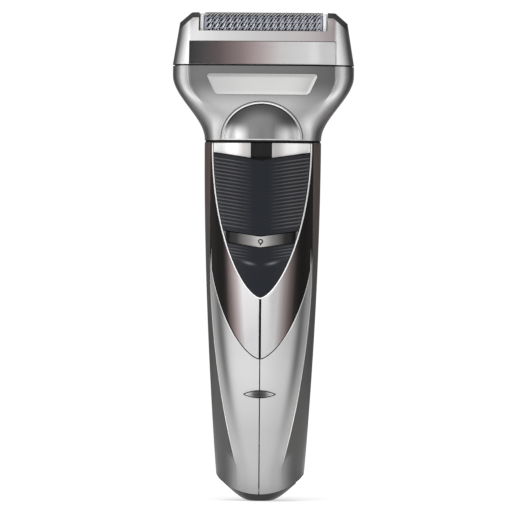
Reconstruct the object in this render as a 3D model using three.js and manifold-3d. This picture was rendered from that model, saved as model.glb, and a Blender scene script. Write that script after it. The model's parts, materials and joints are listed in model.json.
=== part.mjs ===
// Body groomer: a slim handle with a thumb slider, a motor and a cell inside, and a foil shaver head.
// Millimetres, +Z up, front towards -Y, origin at the middle of the flat foot.
import * as THREE from "three";
import { mergeVertices } from "three/addons/utils/BufferGeometryUtils.js";
import Module from "manifold-3d";

const wasm = await Module();
wasm.setup();

// ---- Driving dimensions ----

const GAP = 0.3; // between neighbouring pieces
const SEAM = 0.35; // between the two lower covers
const DEPTH_RATIO = 0.72; // the handle's depth over its width
const SECTION_POWER = 2.3; // superellipse power of the handle's section
const HEAD_POWER = 3.15; // the same for the shaver head, which is squarer
const FRAME_POWER = 4.2; // and for the foil frame
const WALL = 2; // shells
const FRAME_WALL = 2.4;
const FAR = 40; // beyond every surface

const RIM_Z = 2.3; // lowest point of the handle's shells
const RIM_RADIUS = 21; // arc under the handle, straight from front to back
const HEEL = 1.2; // the handle's depth draws in this much towards its base
const CORNER_Z = 9.4;
const CORNER_WIDTH = 14.9; // half-widths
const NECK_Z = 120.9;
const NECK_WIDTH = 19.7;
const FLARE_POWER = 1.85;

const CREASE_MAX = 17.4; // half-width of the front face at the neck
const CREASE_LOW_Z = 11;
const CREASE_HIGH_Z = 75;
const CREASE_INSET = 1.3;
const CREASE_NARROWING = 5.9;

const FASCIA_TIP_Z = 48.1;
const FASCIA_TOP_Z = 88;
const COVER_TOP_Z = 83;
const SLOT = 0.75; // slot between the fascia halves

const VEE_TIP_Z = 68.7;
const VEE_WIDTH = 16.4;
const TRIM = 0.7;
const BED_TOP = 0.9; // the bed lies this deep under the surface
const INLAY_DEPTH = 0.6;
const FRONT_TOP_Z = 120.6;

const PLATE_EDGE_Z = 115; // shoulder plates' lower edge at the middle
const EDGE_SLOPE = 0.136; // each edge across the vee rises this much per millimetre outwards
const KEYHOLE_HALF = 3.55; // between the shoulder plates
const SLIDER_TRAVEL = 3;
const SLIDER_BOTTOM_Z = 89.4;
const BAND_BOTTOM_Z = 85.5;
const BEAD_Z = 87.5;

const BADGE_Z = 36.1;
const BADGE_HALF = 5.4;
const BADGE_RISE = 1.2;

const FOOT_HALF_X = 4.8;
const FOOT_HALF_Y = 6.8;
const CAP_TOP_Z = 5.9;
const CAP_HALF_X = 12.4;
const CAP_HALF_Y = 8.9;
const CAP_ROUNDING = 0.6;
const PORT = 5; // radius of the opening in the handle's base
const JACK = { outer: 3, bore: 1.75, pin: 0.6, bottom: 0.3, top: 13, wall: 2.5 };

const CELL = { radius: 7, y: 1, bottom: 20, top: 70 };
const MOTOR = { radius: 8.25, wall: 0.8, bottom: 80, top: 108 };
const SHAFT = { radius: 1, bottom: 76, top: 118.9 };
const OSCILLATION = 0.8; // the bridge's travel to each side
const CAM = { radius: 4.2, bottom: 117.4, top: 122.4, offset: OSCILLATION };
const PIN = { radius: 0.7, bottom: 119.6, top: 131.5 };
const BOARD = { half: 6.5, back: -9.2, front: -10.3, bottom: 72, top: 118 };
const SWITCH = { half: 4, back: -9, front: -11.7, bottom: 105, top: 117 };
const SCREW_Z = [16.5, 74.8];

const DECK = { bottom: 118, top: 120.4, hole: 5 };
const COLLAR = { inner: 8, outer: 10, top: 127 };

const HEAD_Z = 121.6;
const HEAD_TOP_Z = 146.6;
const HEAD_WIDTH = 30.6;
const FLARE_LOW_Z = 122;
const FLARE_HIGH_Z = 143.5;
const HEAD_DEPTH_NECK = 14.1;
const HEAD_DEPTH = 12.8;
const SPIGOT = { radius: 11.4, top: 127.5, floor: 129, hole: 8 };
const DOME = { half: 13.6, apex: 134.8 };
const INLAY = { top: 144.3, bottom: 137.3, halfTop: 19, halfBottom: 15.8, corner: 1.2 };

const FRAME_Z = 147.1;
const RAIL_Z = 158.4; // the frame's rim beside the foil
const RAIL_DEPTH = 11;
const SHOULDER = { z: 161.3, half: 28.3 };
const TOWER = { z: 164.7, half: 24.4, inner: 21.7, depth: 8.6 };
const CAP_THICK = 1.7;
const PANEL = { half: 24.8, top: 155 };
const FOIL = { half: 19.9, radius: 5.8, sheet: 0.3, top: 165, bottom: 150 };
const CASSETTE = { half: 21.4, depth: 7.1, bottom: 148.5, top: 157.9 };
const BLADE = { radius: 5.1, count: 15, pitch: 2.45, thick: 0.8 };
const SPRING = { x: 8, radius: 1.6, wire: 0.25, turns: 4, bottom: 147.5, top: 150.5 };

// ---- Materials ----

const finish = (color, roughness, metalness) => () =>
  new THREE.MeshStandardMaterial({ color, roughness, metalness });
const satinSilver = finish(0xb4b5b8, 0.35, 0.6);
const chrome = finish(0xe8e9ea, 0.12, 1);
const gunmetal = finish(0x77706f, 0.15, 0.9);
const darkShell = finish(0x4d4a49, 0.5, 0.1);
const rubber = finish(0x2d3136, 0.85, 0);
const blackPlastic = finish(0x17181a, 0.5, 0);
const whitePlastic = finish(0xe9eaec, 0.45, 0);
const steel = finish(0x9aa3ad, 0.3, 1);
const brass = finish(0xb99a52, 0.3, 1);
const copper = finish(0xa9603a, 0.35, 1);
const greenBoard = finish(0x2c5a3a, 0.6, 0);
const cellSleeve = finish(0x3f6f8f, 0.4, 0);
const magnet = finish(0x3b3b3f, 0.6, 0.3);
const clearLens = finish(0xd8dde2, 0.1, 0);

// ---- Solids: three.js geometry in, manifold-3d for the cuts and joins ----

function solid(geometry) {
  const bare = geometry.clone();
  bare.deleteAttribute("normal");
  bare.deleteAttribute("uv");
  const merged = mergeVertices(bare, 1e-4);
  return new wasm.Manifold(
    new wasm.Mesh({
      numProp: 3,
      vertProperties: new Float32Array(merged.attributes.position.array),
      triVerts: new Uint32Array(merged.index.array),
    }),
  );
}

function geometryOf(shape) {
  const mesh = shape.getMesh();
  const geometry = new THREE.BufferGeometry();
  geometry.setAttribute("position", new THREE.BufferAttribute(mesh.vertProperties, 3));
  geometry.setIndex(new THREE.BufferAttribute(mesh.triVerts, 1));
  const flat = geometry.toNonIndexed();
  flat.computeVertexNormals();
  return flat;
}

const join = (...shapes) => shapes.reduce((whole, next) => whole.add(next));
const cut = (whole, ...tools) => tools.reduce((left, tool) => left.subtract(tool), whole);

function box(x0, x1, y0, y1, z0, z1) {
  const geometry = new THREE.BoxGeometry(x1 - x0, y1 - y0, z1 - z0);
  return solid(geometry.translate((x0 + x1) / 2, (y0 + y1) / 2, (z0 + z1) / 2));
}

function rod(radius, z0, z1, x = 0, y = 0, sides = 28) {
  const geometry = new THREE.CylinderGeometry(radius, radius, z1 - z0, sides);
  return solid(geometry.rotateX(Math.PI / 2).translate(x, y, (z0 + z1) / 2));
}

function rodAlongY(radius, y0, y1, x, z, sides = 24) {
  const geometry = new THREE.CylinderGeometry(radius, radius, y1 - y0, sides);
  return solid(geometry.translate(x, (y0 + y1) / 2, z));
}

function rodAlongX(radius, x0, x1, y, z, sides = 16) {
  const geometry = new THREE.CylinderGeometry(radius, radius, x1 - x0, sides);
  return solid(geometry.rotateZ(Math.PI / 2).translate((x0 + x1) / 2, y, z));
}

function tube(outer, inner, z0, z1, y = 0) {
  return cut(rod(outer, z0, z1, 0, y), rod(inner, z0 - 1, z1 + 1, 0, y));
}

// Heights from z0 to z1, closer together near z0 when the power is over 1.
function spread(z0, z1, rows, power = 1) {
  return Array.from({ length: rows + 1 }, (_, i) => z0 + (z1 - z0) * (i / rows) ** power);
}

// A solid through the given heights whose section at z is a superellipse.
function loft(heights, width, depth, power, sides = 40) {
  const rows = heights.length - 1;
  const geometry = new THREE.CylinderGeometry(1, 1, rows, sides, rows).rotateX(Math.PI / 2);
  const place = geometry.attributes.position;
  const bend = (value) => Math.sign(value) * Math.abs(value) ** (2 / power);
  for (let i = 0; i < place.count; i++) {
    const z = heights[Math.round(place.getZ(i) + rows / 2)];
    const x = bend(Math.abs(place.getX(i)) < 1e-6 ? 0 : place.getX(i));
    const y = bend(Math.abs(place.getY(i)) < 1e-6 ? 0 : place.getY(i));
    place.setXYZ(i, x * width(z), y * depth(z), z);
  }
  return solid(geometry);
}

// An outline drawn in X and Z, pushed along Y.
function prism(shape, y0, y1) {
  const options = { depth: y1 - y0, bevelEnabled: false, curveSegments: 10 };
  const geometry = new THREE.ExtrudeGeometry(shape, options);
  return solid(geometry.rotateX(Math.PI / 2).translate(0, y1, 0));
}
const front = (shape, gap = 0) => prism(shape, -FAR, -1 - gap);
const rear = (shape) => prism(shape, 1, FAR);

function polygon(points) {
  return new THREE.Shape(points.map(([x, z]) => new THREE.Vector2(x, z)));
}

// The region between two half-width functions on one side: +1 is right, -1 is left.
function strip(side, inner, outer, z0, z1, steps = 24) {
  const heights = Array.from({ length: steps + 1 }, (_, i) => z0 + ((z1 - z0) * i) / steps);
  const out = heights.map((z) => [side * outer(z), z]);
  const back = heights.reverse().map((z) => [side * inner(z), z]);
  return polygon([...out, ...back]);
}

// The region within a half-width function on both sides.
function symmetric(half, z0, z1, steps = 24) {
  return strip(1, (z) => -half(z), half, z0, z1, steps);
}

// ---- Outlines ----

const clamp = (t) => Math.min(1, Math.max(0, t));
const smooth = (t) => clamp(t) ** 2 * (3 - 2 * clamp(t));

function sideWidth(z) {
  const t = clamp((z - CORNER_Z) / (NECK_Z - CORNER_Z));
  return CORNER_WIDTH + (NECK_WIDTH - CORNER_WIDTH) * (1 - (1 - t) ** FLARE_POWER);
}

function handleDepth(z) {
  const under = clamp((CORNER_Z - z) / (CORNER_Z - RIM_Z));
  return sideWidth(z) * DEPTH_RATIO - HEEL * under ** 2;
}

// The handle's outer form, grown by an offset, with the arc cut under it.
function handleSolid(offset, top = NECK_Z) {
  const form = loft(
    [RIM_Z - offset, 6, ...spread(CORNER_Z, top, 12, 1.3)],
    (z) => sideWidth(z) + offset,
    (z) => handleDepth(z) + offset,
    SECTION_POWER,
  );
  const center = RIM_Z + RIM_RADIUS;
  const disc = rodAlongY(RIM_RADIUS + offset, -FAR, FAR, 0, center, 80);
  const above = box(-FAR, FAR, -FAR, FAR, center, NECK_Z + FAR);
  return form.intersect(join(disc, above));
}
const handleSkin = (outer, inner) => cut(handleSolid(outer), handleSolid(inner, NECK_Z + 1));
const frontY = (z) => -handleDepth(z);

function crease(z) {
  const low = Math.max(z, CREASE_LOW_Z);
  const s = clamp((low - CREASE_LOW_Z) / (CREASE_HIGH_Z - CREASE_LOW_Z));
  return Math.min(CREASE_MAX, sideWidth(low) - CREASE_INSET - CREASE_NARROWING * (1 - s) ** 2);
}

function fasciaEdge(z) {
  const u = clamp((z - FASCIA_TIP_Z) / (FASCIA_TOP_Z - FASCIA_TIP_Z));
  return CREASE_MAX * (1 - (1 - u) ** 1.8) ** 0.65;
}

function vee(z) {
  const u = clamp((z - VEE_TIP_Z) / (NECK_Z - VEE_TIP_Z));
  return VEE_WIDTH * (1 - (1 - u) ** 2) ** 0.64;
}

const veeOuter = (z, gap = 0) => vee(z + TRIM + gap) + TRIM + gap;

// A band across the vee, between two edges that rise outwards from the middle.
function acrossVee(bottom, top) {
  const points = [];
  const steps = 8;
  const edge = (middle, x) => middle + EDGE_SLOPE * Math.abs(x);
  const reach = (middle) => {
    let x = vee(middle) - GAP;
    for (let i = 0; i < 6; i++) x = vee(edge(middle, x)) - GAP;
    return x;
  };
  const low = bottom === null ? 0 : reach(bottom);
  const high = reach(top);
  const lowZ = bottom === null ? VEE_TIP_Z + 1 : edge(bottom, low);
  const highZ = edge(top, high);
  for (let i = 0; i <= steps; i++) {
    const z = lowZ + ((highZ - lowZ) * i) / steps;
    points.push([vee(z) - GAP, z]);
  }
  const left = points.map(([x, z]) => [-x, z]).reverse();
  const middle = bottom === null ? [] : [[0, bottom]];
  return polygon([...middle, ...points, [0, top], ...left]);
}

function lens(half, rise, z) {
  const shape = new THREE.Shape();
  shape.moveTo(-half, z);
  shape.quadraticCurveTo(0, z - 2 * rise, half, z);
  shape.quadraticCurveTo(0, z + 2 * rise, -half, z);
  return shape;
}

const flare = (z) => smooth((z - FLARE_LOW_Z) / (FLARE_HIGH_Z - FLARE_LOW_Z));
const headWidth = (z) => NECK_WIDTH + (HEAD_WIDTH - NECK_WIDTH) * flare(z);
const headDepth = (z) => HEAD_DEPTH_NECK + (HEAD_DEPTH - HEAD_DEPTH_NECK) * flare(z);
const headSolid = (offset, low = HEAD_Z, top = HEAD_TOP_Z) =>
  loft(
    spread(low, top, 10),
    (z) => headWidth(z) + offset,
    (z) => headDepth(z) + offset,
    HEAD_POWER,
  );
const headSkin = (outer, inner) => cut(headSolid(outer), headSolid(inner, HEAD_Z - 1, HEAD_TOP_Z + 1));

function frameWidth(z) {
  const slope = (HEAD_WIDTH - SHOULDER.half) / (SHOULDER.z - FRAME_Z);
  if (z <= SHOULDER.z) return HEAD_WIDTH - slope * (z - FRAME_Z);
  return SHOULDER.half - ((SHOULDER.half - TOWER.half) * (z - SHOULDER.z)) / (TOWER.z - SHOULDER.z);
}
function frameDepth(z) {
  if (z <= RAIL_Z) return HEAD_DEPTH - ((HEAD_DEPTH - RAIL_DEPTH) * (z - FRAME_Z)) / (RAIL_Z - FRAME_Z);
  return RAIL_DEPTH - ((RAIL_DEPTH - TOWER.depth) * (z - RAIL_Z)) / (TOWER.z - RAIL_Z);
}
function frameSolid(offset, low = FRAME_Z, top = TOWER.z) {
  const heights = [low, ...[RAIL_Z, SHOULDER.z].filter((z) => z < top), top];
  return loft(
    heights,
    (z) => frameWidth(z) + offset,
    (z) => frameDepth(z) + offset,
    FRAME_POWER,
  );
}
const frameSkin = (outer, inner) => cut(frameSolid(outer), frameSolid(inner, FRAME_Z - 1, TOWER.z + 1));

// ---- The assembly ----

const group = new THREE.Group();

function add(name, shape, material) {
  const mesh = new THREE.Mesh(geometryOf(shape), material());
  mesh.name = name;
  group.add(mesh);
}

const SIDES = [
  ["left", -1],
  ["right", 1],
];

function addShells() {
  const port = rod(PORT, -1, 12);
  const screwHoles = SCREW_Z.map((z) =>
    join(
      rodAlongY(1.4, 1, FAR, 0, z),
      rodAlongY(2.5, -frontY(z) - 1.6, FAR, 0, z),
    ),
  );
  const opening = front(symmetric(crease, -1, NECK_Z + 1));
  add("back_shell", cut(handleSkin(0, -WALL), opening, port, ...screwHoles), darkShell);

  const badgePocket = cut(front(lens(BADGE_HALF + GAP, BADGE_RISE + GAP, BADGE_Z)), handleSolid(-BED_TOP));
  const aroundFascia = (z) => Math.max(SLOT, fasciaEdge(z + GAP)) + GAP;
  const fasciaRegion = front(symmetric(aroundFascia, FASCIA_TIP_Z - GAP, NECK_Z, 40));
  for (const [name, side] of SIDES) {
    const outer = (z) => crease(z) - GAP;
    const region = front(strip(side, () => SEAM / 2, outer, -1, COVER_TOP_Z), GAP);
    const skin = handleSkin(0, -WALL).intersect(region);
    add("front_cover_" + name, cut(skin, fasciaRegion, badgePocket, port), satinSilver);
  }
  const badge = front(lens(BADGE_HALF, BADGE_RISE, BADGE_Z));
  add("lens_badge", handleSkin(0.25, -INLAY_DEPTH).intersect(badge), chrome);

  for (const [name, side] of SIDES) {
    const outer = (z) => Math.max(SLOT, Math.min(fasciaEdge(z), crease(z) - GAP));
    const region = front(strip(side, () => SLOT / 2, outer, FASCIA_TIP_Z, FRONT_TOP_Z, 40));
    const veeRegion = front(symmetric((z) => veeOuter(z, GAP), VEE_TIP_Z - TRIM - GAP, NECK_Z + 1, 32));
    add("inner_fascia_" + name, cut(handleSkin(0, -WALL).intersect(region), veeRegion), gunmetal);
  }
}

function addVee() {
  const outer = front(symmetric((z) => veeOuter(z), VEE_TIP_Z - TRIM, FRONT_TOP_Z, 32));
  const inner = front(symmetric((z) => vee(z), VEE_TIP_Z, NECK_Z + 1, 32));
  add("v_trim", cut(handleSkin(0.35, -0.8).intersect(outer), inner), chrome);

  const bedRegion = front(symmetric((z) => vee(z) - GAP, VEE_TIP_Z + 1, FRONT_TOP_Z, 32));
  const stemSlot = box(-3, 3, -FAR, 0, 105.5, 116);
  add("switch_bed", cut(handleSkin(-BED_TOP, -WALL).intersect(bedRegion), stemSlot), blackPlastic);

  for (const [name, side] of SIDES) {
    const low = (x) => PLATE_EDGE_Z + EDGE_SLOPE * x;
    const reach = vee(low(VEE_WIDTH)) - GAP;
    const shape = polygon(
      [
        [KEYHOLE_HALF, low(KEYHOLE_HALF)],
        [reach, low(reach)],
        [vee(FRONT_TOP_Z) - GAP, FRONT_TOP_Z],
        [KEYHOLE_HALF, FRONT_TOP_Z],
      ].map(([x, z]) => [side * x, z]),
    );
    add("shoulder_plate_" + name, handleSkin(0, -INLAY_DEPTH).intersect(front(shape)), chrome);
  }
}

function addSlider() {
  const top = PLATE_EDGE_Z - GAP;
  const pad = handleSkin(1.2, GAP).intersect(front(acrossVee(SLIDER_BOTTOM_Z, top)));
  const core = handleSkin(GAP + 0.1, -INLAY_DEPTH).intersect(
    front(acrossVee(SLIDER_BOTTOM_Z, top - SLIDER_TRAVEL - GAP)),
  );
  const stem = box(-2.6, 2.6, frontY(109) + GAP, SWITCH.front - GAP, 106.5, 112);
  const socket = box(-1.3, 1.3, -13, -11.8, 107.7, 110.8);
  add("power_slider", cut(join(pad, core, stem), socket), rubber);
  add("switch_actuator", box(-1, 1, -12.7, -10.3, 108, 110.5), whitePlastic);

  const body = box(-SWITCH.half, SWITCH.half, SWITCH.front, SWITCH.back, SWITCH.bottom, SWITCH.top);
  const track = box(-1.3, 1.3, SWITCH.front - 1, -10, 107, 115);
  add("slide_switch_body", cut(body, track), blackPlastic);
}

function addLowerPad() {
  const bandTop = SLIDER_BOTTOM_Z - GAP;
  const bandShape = acrossVee(BAND_BOTTOM_Z, bandTop);
  const beadHole = rodAlongY(1.5, -FAR, -1, 0, BEAD_Z);
  add("metal_band", cut(handleSkin(0.5, -INLAY_DEPTH).intersect(front(bandShape)), beadHole), satinSilver);

  const surface = frontY(BEAD_Z);
  const ring = cut(
    rodAlongY(1.2, surface - 0.8, surface + 0.6, 0, BEAD_Z),
    rodAlongY(0.8, surface - 1, surface + 1, 0, BEAD_Z),
  );
  add("indicator_ring", ring, blackPlastic);
  const bead = new THREE.SphereGeometry(0.5, 16, 12).scale(1, 1.4, 1).translate(0, surface - 0.2, BEAD_Z);
  add("indicator_lens", solid(bead), clearLens);

  const rest = handleSkin(0.9, -INLAY_DEPTH).intersect(front(acrossVee(null, BAND_BOTTOM_Z - GAP)));
  add("thumb_rest_pad", rest, rubber);
}

function addBase() {
  const grow = (z) => clamp(z / CAP_TOP_Z) ** CAP_ROUNDING;
  const width = (z) => FOOT_HALF_X + (CAP_HALF_X - FOOT_HALF_X) * grow(z);
  const depth = (z) => FOOT_HALF_Y + (CAP_HALF_Y - FOOT_HALF_Y) * grow(z);
  const bowl = loft(spread(0, CAP_TOP_Z + GAP, 6, 2), width, depth, 2.5);
  const shell = cut(bowl, handleSolid(GAP));
  const boss = rod(PORT - GAP, 1, 9);
  add("base_cap", cut(join(shell, boss), rod(JACK.outer + GAP, -1, 10)), blackPlastic);

  const body = cut(
    rod(JACK.outer, JACK.bottom, JACK.top),
    rod(JACK.bore, JACK.bottom - 1, JACK.top - JACK.wall),
    rod(JACK.pin + GAP, 0, JACK.top + 1),
  );
  add("charging_jack", body, blackPlastic);
  add("jack_pin", rod(JACK.pin, 1.2, JACK.top + 1, 0, 0, 16), brass);
}

function addChassis() {
  const rail = (x) => box(x - 0.8, x + 0.8, -2, 2, 15.3, 111);
  const shelf = (z0, z1) => box(-11.6, 11.6, -3.5, 3.5, z0, z1);
  const bosses = SCREW_Z.map((z, i) => rodAlongY(2.2, 2, [6.6, 9.4][i], 0, z));
  const shelves = [shelf(15.3, 17.7), shelf(73.6, 75.6), shelf(109, 111)];
  const bores = SCREW_Z.map((z) => rodAlongY(1.35, 0, FAR, 0, z, 16));
  const whole = join(rail(-10.8), rail(10.8), ...shelves, ...bosses);
  add("chassis", cut(whole, rod(3, 108, 112), ...bores), blackPlastic);

  const names = ["lower", "upper"];
  SCREW_Z.forEach((z, i) => {
    const surface = -frontY(z);
    const head = rodAlongY(2.2, surface - 1.3, surface - 0.4, 0, z);
    const shank = rodAlongY(1.05, 1.2, surface - 0.9, 0, z, 16);
    const cross = join(
      box(-1.3, 1.3, surface - 0.9, surface, z - 0.25, z + 0.25),
      box(-0.25, 0.25, surface - 0.9, surface, z - 1.3, z + 1.3),
    );
    add("case_screw_" + names[i], cut(join(head, shank), cross), steel);
  });
}

function addPower() {
  const { radius, y, bottom, top } = CELL;
  const nub = rod(2.6, top - 1.5, top, 0, y);
  add("battery_cell", join(rod(radius, bottom, top - 1, 0, y), nub), cellSleeve);
  const tab = (z0, z1) => join(box(-3, 3, y - 4, y + 4, z0, z1), box(-1.5, 1.5, y - 7, y + 4, z0, z1));
  add("battery_tab_top", tab(top + GAP, top + 0.8), steel);
  add("battery_tab_bottom", tab(bottom - 0.8, bottom - GAP), steel);

  const { half, back, front: face } = BOARD;
  const notch = box(-SWITCH.half - GAP, SWITCH.half + GAP, -FAR, 0, SWITCH.bottom - GAP, NECK_Z);
  add("circuit_board", cut(box(-half, half, face, back, BOARD.bottom, BOARD.top), notch), greenBoard);
}

function addMotor() {
  const { radius, wall, bottom, top } = MOTOR;
  const cavity = rod(radius - wall, bottom - 1, top - wall);
  add("motor_can", cut(rod(radius, bottom, top), cavity, rod(SHAFT.radius + GAP, top - 2, top + 1)), steel);
  const endBell = cut(rod(radius - 0.6, 77.2, 79.7), rod(SHAFT.radius + GAP, 76, 80.5));
  add("motor_end_cap", endBell, blackPlastic);
  add("field_magnet", tube(radius - wall - GAP, 6.3, 83, 104), magnet);

  const poles = Array.from({ length: 3 }, (_, i) => {
    const turn = (i * 2 * Math.PI) / 3 + Math.PI / 2;
    return solid(new THREE.BoxGeometry(7, 1.6, 30).translate(6, 0, 94).rotateZ(turn));
  });
  const core = cut(rod(5.9, 85, 102), rod(SHAFT.radius + GAP, 80, 106), ...poles);
  add("armature", core, copper);
  add("motor_shaft", rod(SHAFT.radius, SHAFT.bottom, SHAFT.top, 0, 0, 20), steel);

  const pinHole = rod(PIN.radius + GAP, PIN.bottom - GAP, CAM.top + 1, 0, CAM.offset, 16);
  const shaftHole = rod(SHAFT.radius + GAP, CAM.bottom - 1, SHAFT.top + GAP, 0, 0, 20);
  const cam = cut(rod(CAM.radius, CAM.bottom, CAM.top), pinHole, shaftHole);
  add("eccentric_cam", cam, brass);
}

function addNeck() {
  const inside = handleSolid(-WALL - GAP, DECK.top);
  const below = box(-FAR, FAR, -FAR, FAR, -FAR, DECK.bottom);
  const stand = tube(COLLAR.outer, COLLAR.inner, DECK.top - 1, COLLAR.top);
  const plate = cut(inside, below, rod(DECK.hole, DECK.bottom - 1, NECK_Z));
  add("neck_deck", join(plate, stand), blackPlastic);
  const groove = new THREE.CatmullRomCurve3(
    Array.from({ length: 12 }, (_, i) => {
      const a = (i * Math.PI) / 6;
      return new THREE.Vector3(Math.cos(a), Math.sin(a), 0).multiplyScalar(COLLAR.outer + 0.85);
    }),
    true,
  );
  const ringSection = new THREE.Shape().absarc(0, 0, 0.5, 0, 2 * Math.PI);
  const ring = new THREE.ExtrudeGeometry(ringSection, { steps: 36, curveSegments: 4, extrudePath: groove });
  add("seal_ring", solid(ring.translate(0, 0, 123.5)), rubber);
}

function addHeadBase() {
  const climb = (z) => (z - FLARE_LOW_Z) / (DOME.apex - FLARE_LOW_Z);
  const domeHalf = (z) => DOME.half * Math.sqrt(clamp(1 - climb(z) ** 2));
  const dome = (gap) => symmetric((z) => domeHalf(z) + gap, HEAD_Z, DOME.apex - 0.05 + gap, 18);
  const { top, bottom, halfTop, halfBottom, corner } = INLAY;
  const inlay = (gap) => {
    const shape = new THREE.Shape();
    shape.moveTo(0, bottom - gap);
    shape.lineTo(halfBottom - corner, bottom - gap);
    shape.quadraticCurveTo(halfBottom + gap, bottom - gap, halfBottom + gap + 0.4, bottom + corner);
    shape.lineTo(halfTop + gap, top - corner);
    shape.quadraticCurveTo(halfTop + gap, top + gap, halfTop - corner, top + gap);
    shape.lineTo(-halfTop + corner, top + gap);
    shape.quadraticCurveTo(-halfTop - gap, top + gap, -halfTop - gap, top - corner);
    shape.lineTo(-halfBottom - gap - 0.4, bottom + corner);
    shape.quadraticCurveTo(-halfBottom - gap, bottom - gap, -halfBottom + corner, bottom - gap);
    return shape;
  };
  const pocket = (shape) => cut(front(shape), headSolid(-BED_TOP, HEAD_Z - 1, HEAD_TOP_Z + 1));
  const hollow = headSolid(-WALL, SPIGOT.floor, HEAD_TOP_Z + 1);
  const shell = cut(
    headSolid(0),
    hollow,
    rod(SPIGOT.radius, HEAD_Z - 1, SPIGOT.top),
    rod(SPIGOT.hole, HEAD_Z, SPIGOT.floor + 1),
    pocket(dome(GAP)),
    pocket(inlay(GAP)),
  );
  add("head_base_shell", shell, satinSilver);
  add("dome_trim", headSkin(0.7, -INLAY_DEPTH).intersect(front(dome(0))), chrome);
  add("trapezoid_inlay", headSkin(0.4, -INLAY_DEPTH).intersect(front(inlay(0))), chrome);
}

function addFoilFrame() {
  const capRegion = (side, gap) => {
    const slope = (SHOULDER.half - TOWER.half) / (TOWER.z - SHOULDER.z);
    const low = TOWER.z - CAP_THICK - gap;
    const bend = TOWER.half - 0.7;
    const far = SHOULDER.half + 3;
    return prism(
      polygon(
        [
          [TOWER.inner - 1, low],
          [bend, low],
          [far, low - (far - bend) / slope],
          [far, TOWER.z + 1],
          [TOWER.inner - 1, TOWER.z + 1],
        ].map(([x, z]) => [side * x, z]),
      ),
      -FAR,
      FAR,
    );
  };
  const panelShape = (gap, low) => symmetric(() => PANEL.half + gap, low, PANEL.top + gap, 1);
  const shallow = frameSolid(-1.5, FRAME_Z - 1, TOWER.z + 1);
  const frame = cut(
    frameSolid(0),
    frameSolid(-FRAME_WALL, FRAME_Z - 1, 156.5),
    box(-TOWER.inner, TOWER.inner, -FAR, FAR, RAIL_Z, TOWER.z + 1),
    box(-TOWER.inner, TOWER.inner, -CASSETTE.depth - GAP, CASSETTE.depth + GAP, 150, TOWER.z + 1),
    capRegion(-1, GAP),
    capRegion(1, GAP),
    cut(front(panelShape(0, FRAME_Z - 1)), shallow),
    cut(rear(panelShape(0, FRAME_Z - 1)), shallow),
  );
  add("foil_frame", frame, satinSilver);
  const panelSkin = frameSkin(-0.4, -1.2);
  add("front_panel", panelSkin.intersect(front(panelShape(-GAP, FRAME_Z + 0.1))), gunmetal);
  add("rear_panel", panelSkin.intersect(rear(panelShape(-GAP, FRAME_Z + 0.1))), gunmetal);
  for (const [name, side] of SIDES) {
    const ends = side > 0 ? [TOWER.inner, FAR] : [-FAR, -TOWER.inner];
    const tower = box(...ends, -FAR, FAR, 150, 170);
    const cap = frameSolid(0).intersect(capRegion(side, 0)).intersect(tower);
    add("corner_cap_" + name, cap, blackPlastic);
  }
}

// An arch in the Y-Z plane, pushed along X.
function arch(radius, top, bottom, x0, x1, curveSegments = 14) {
  const shape = new THREE.Shape();
  shape.moveTo(-radius, bottom);
  shape.lineTo(radius, bottom);
  shape.absarc(0, top - radius, radius, 0, Math.PI);
  const geometry = new THREE.ExtrudeGeometry(shape, { depth: x1 - x0, bevelEnabled: false, curveSegments });
  return solid(geometry.rotateX(Math.PI / 2).rotateZ(Math.PI / 2).translate(x0, 0, 0));
}

function addFoil() {
  const { half, radius, sheet, top, bottom } = FOIL;
  const sheetShape = cut(
    arch(radius, top, bottom, -half, half),
    arch(radius - sheet, top - sheet, bottom - 1, -half - 1, half + 1),
  );
  add("shaver_foil", sheetShape, steel);
  const { half: long, depth, bottom: low, top: high } = CASSETTE;
  const opening = box(-half - GAP, half + GAP, -radius - GAP, radius + GAP, low - 1, high + 1);
  add("foil_cassette", cut(box(-long, long, -depth, depth, low, high), opening), blackPlastic);
  for (const [name, side] of SIDES) {
    const ends = side > 0 ? [half + GAP, long] : [-long, -half - GAP];
    add("foil_end_cap_" + name, arch(radius + 0.1, TOWER.z, high + GAP, ...ends), whitePlastic);
  }
}

function addCutter() {
  const { radius, count, pitch, thick } = BLADE;
  const crown = FOIL.top - FOIL.sheet - GAP;
  const fins = Array.from({ length: count }, (_, i) => {
    const x = (i - (count - 1) / 2) * pitch;
    return arch(radius, crown, 155.5, x - thick / 2, x + thick / 2, 7);
  });
  const reach = ((count - 1) / 2) * pitch + thick / 2;
  add("cutter_blades", join(box(-reach, reach, -3, 3, 154.6, 159), ...fins), steel);

  const posts = [-13, 13].map((x) => rod(1.6, SPRING.top, 152, x, 0, 16));
  const bores = [-13, 13].map((x) => rod(1.3, 140, 153.2, x, 0, 16));
  const carrier = join(box(-17.5, 17.5, -3.6, 3.6, SPRING.top + GAP, 154.3), ...posts);
  add("cutter_carrier", cut(carrier, ...bores), whitePlastic);

  for (const [name, side] of SIDES) {
    const { turns, bottom, top, wire } = SPRING;
    const helix = new THREE.CatmullRomCurve3(
      Array.from({ length: turns * 10 + 1 }, (_, i) => {
        const a = (i * Math.PI) / 5;
        const z = bottom + wire + ((top - bottom - 2 * wire) * i) / (turns * 10);
        const x = side * SPRING.x + SPRING.radius * Math.cos(a);
        return new THREE.Vector3(x, SPRING.radius * Math.sin(a), z);
      }),
    );
    const section = new THREE.Shape().absarc(0, 0, wire, 0, 2 * Math.PI);
    const options = { steps: turns * 12, curveSegments: 3, extrudePath: helix };
    add("float_spring_" + name, solid(new THREE.ExtrudeGeometry(section, options)), steel);
  }
}

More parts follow.
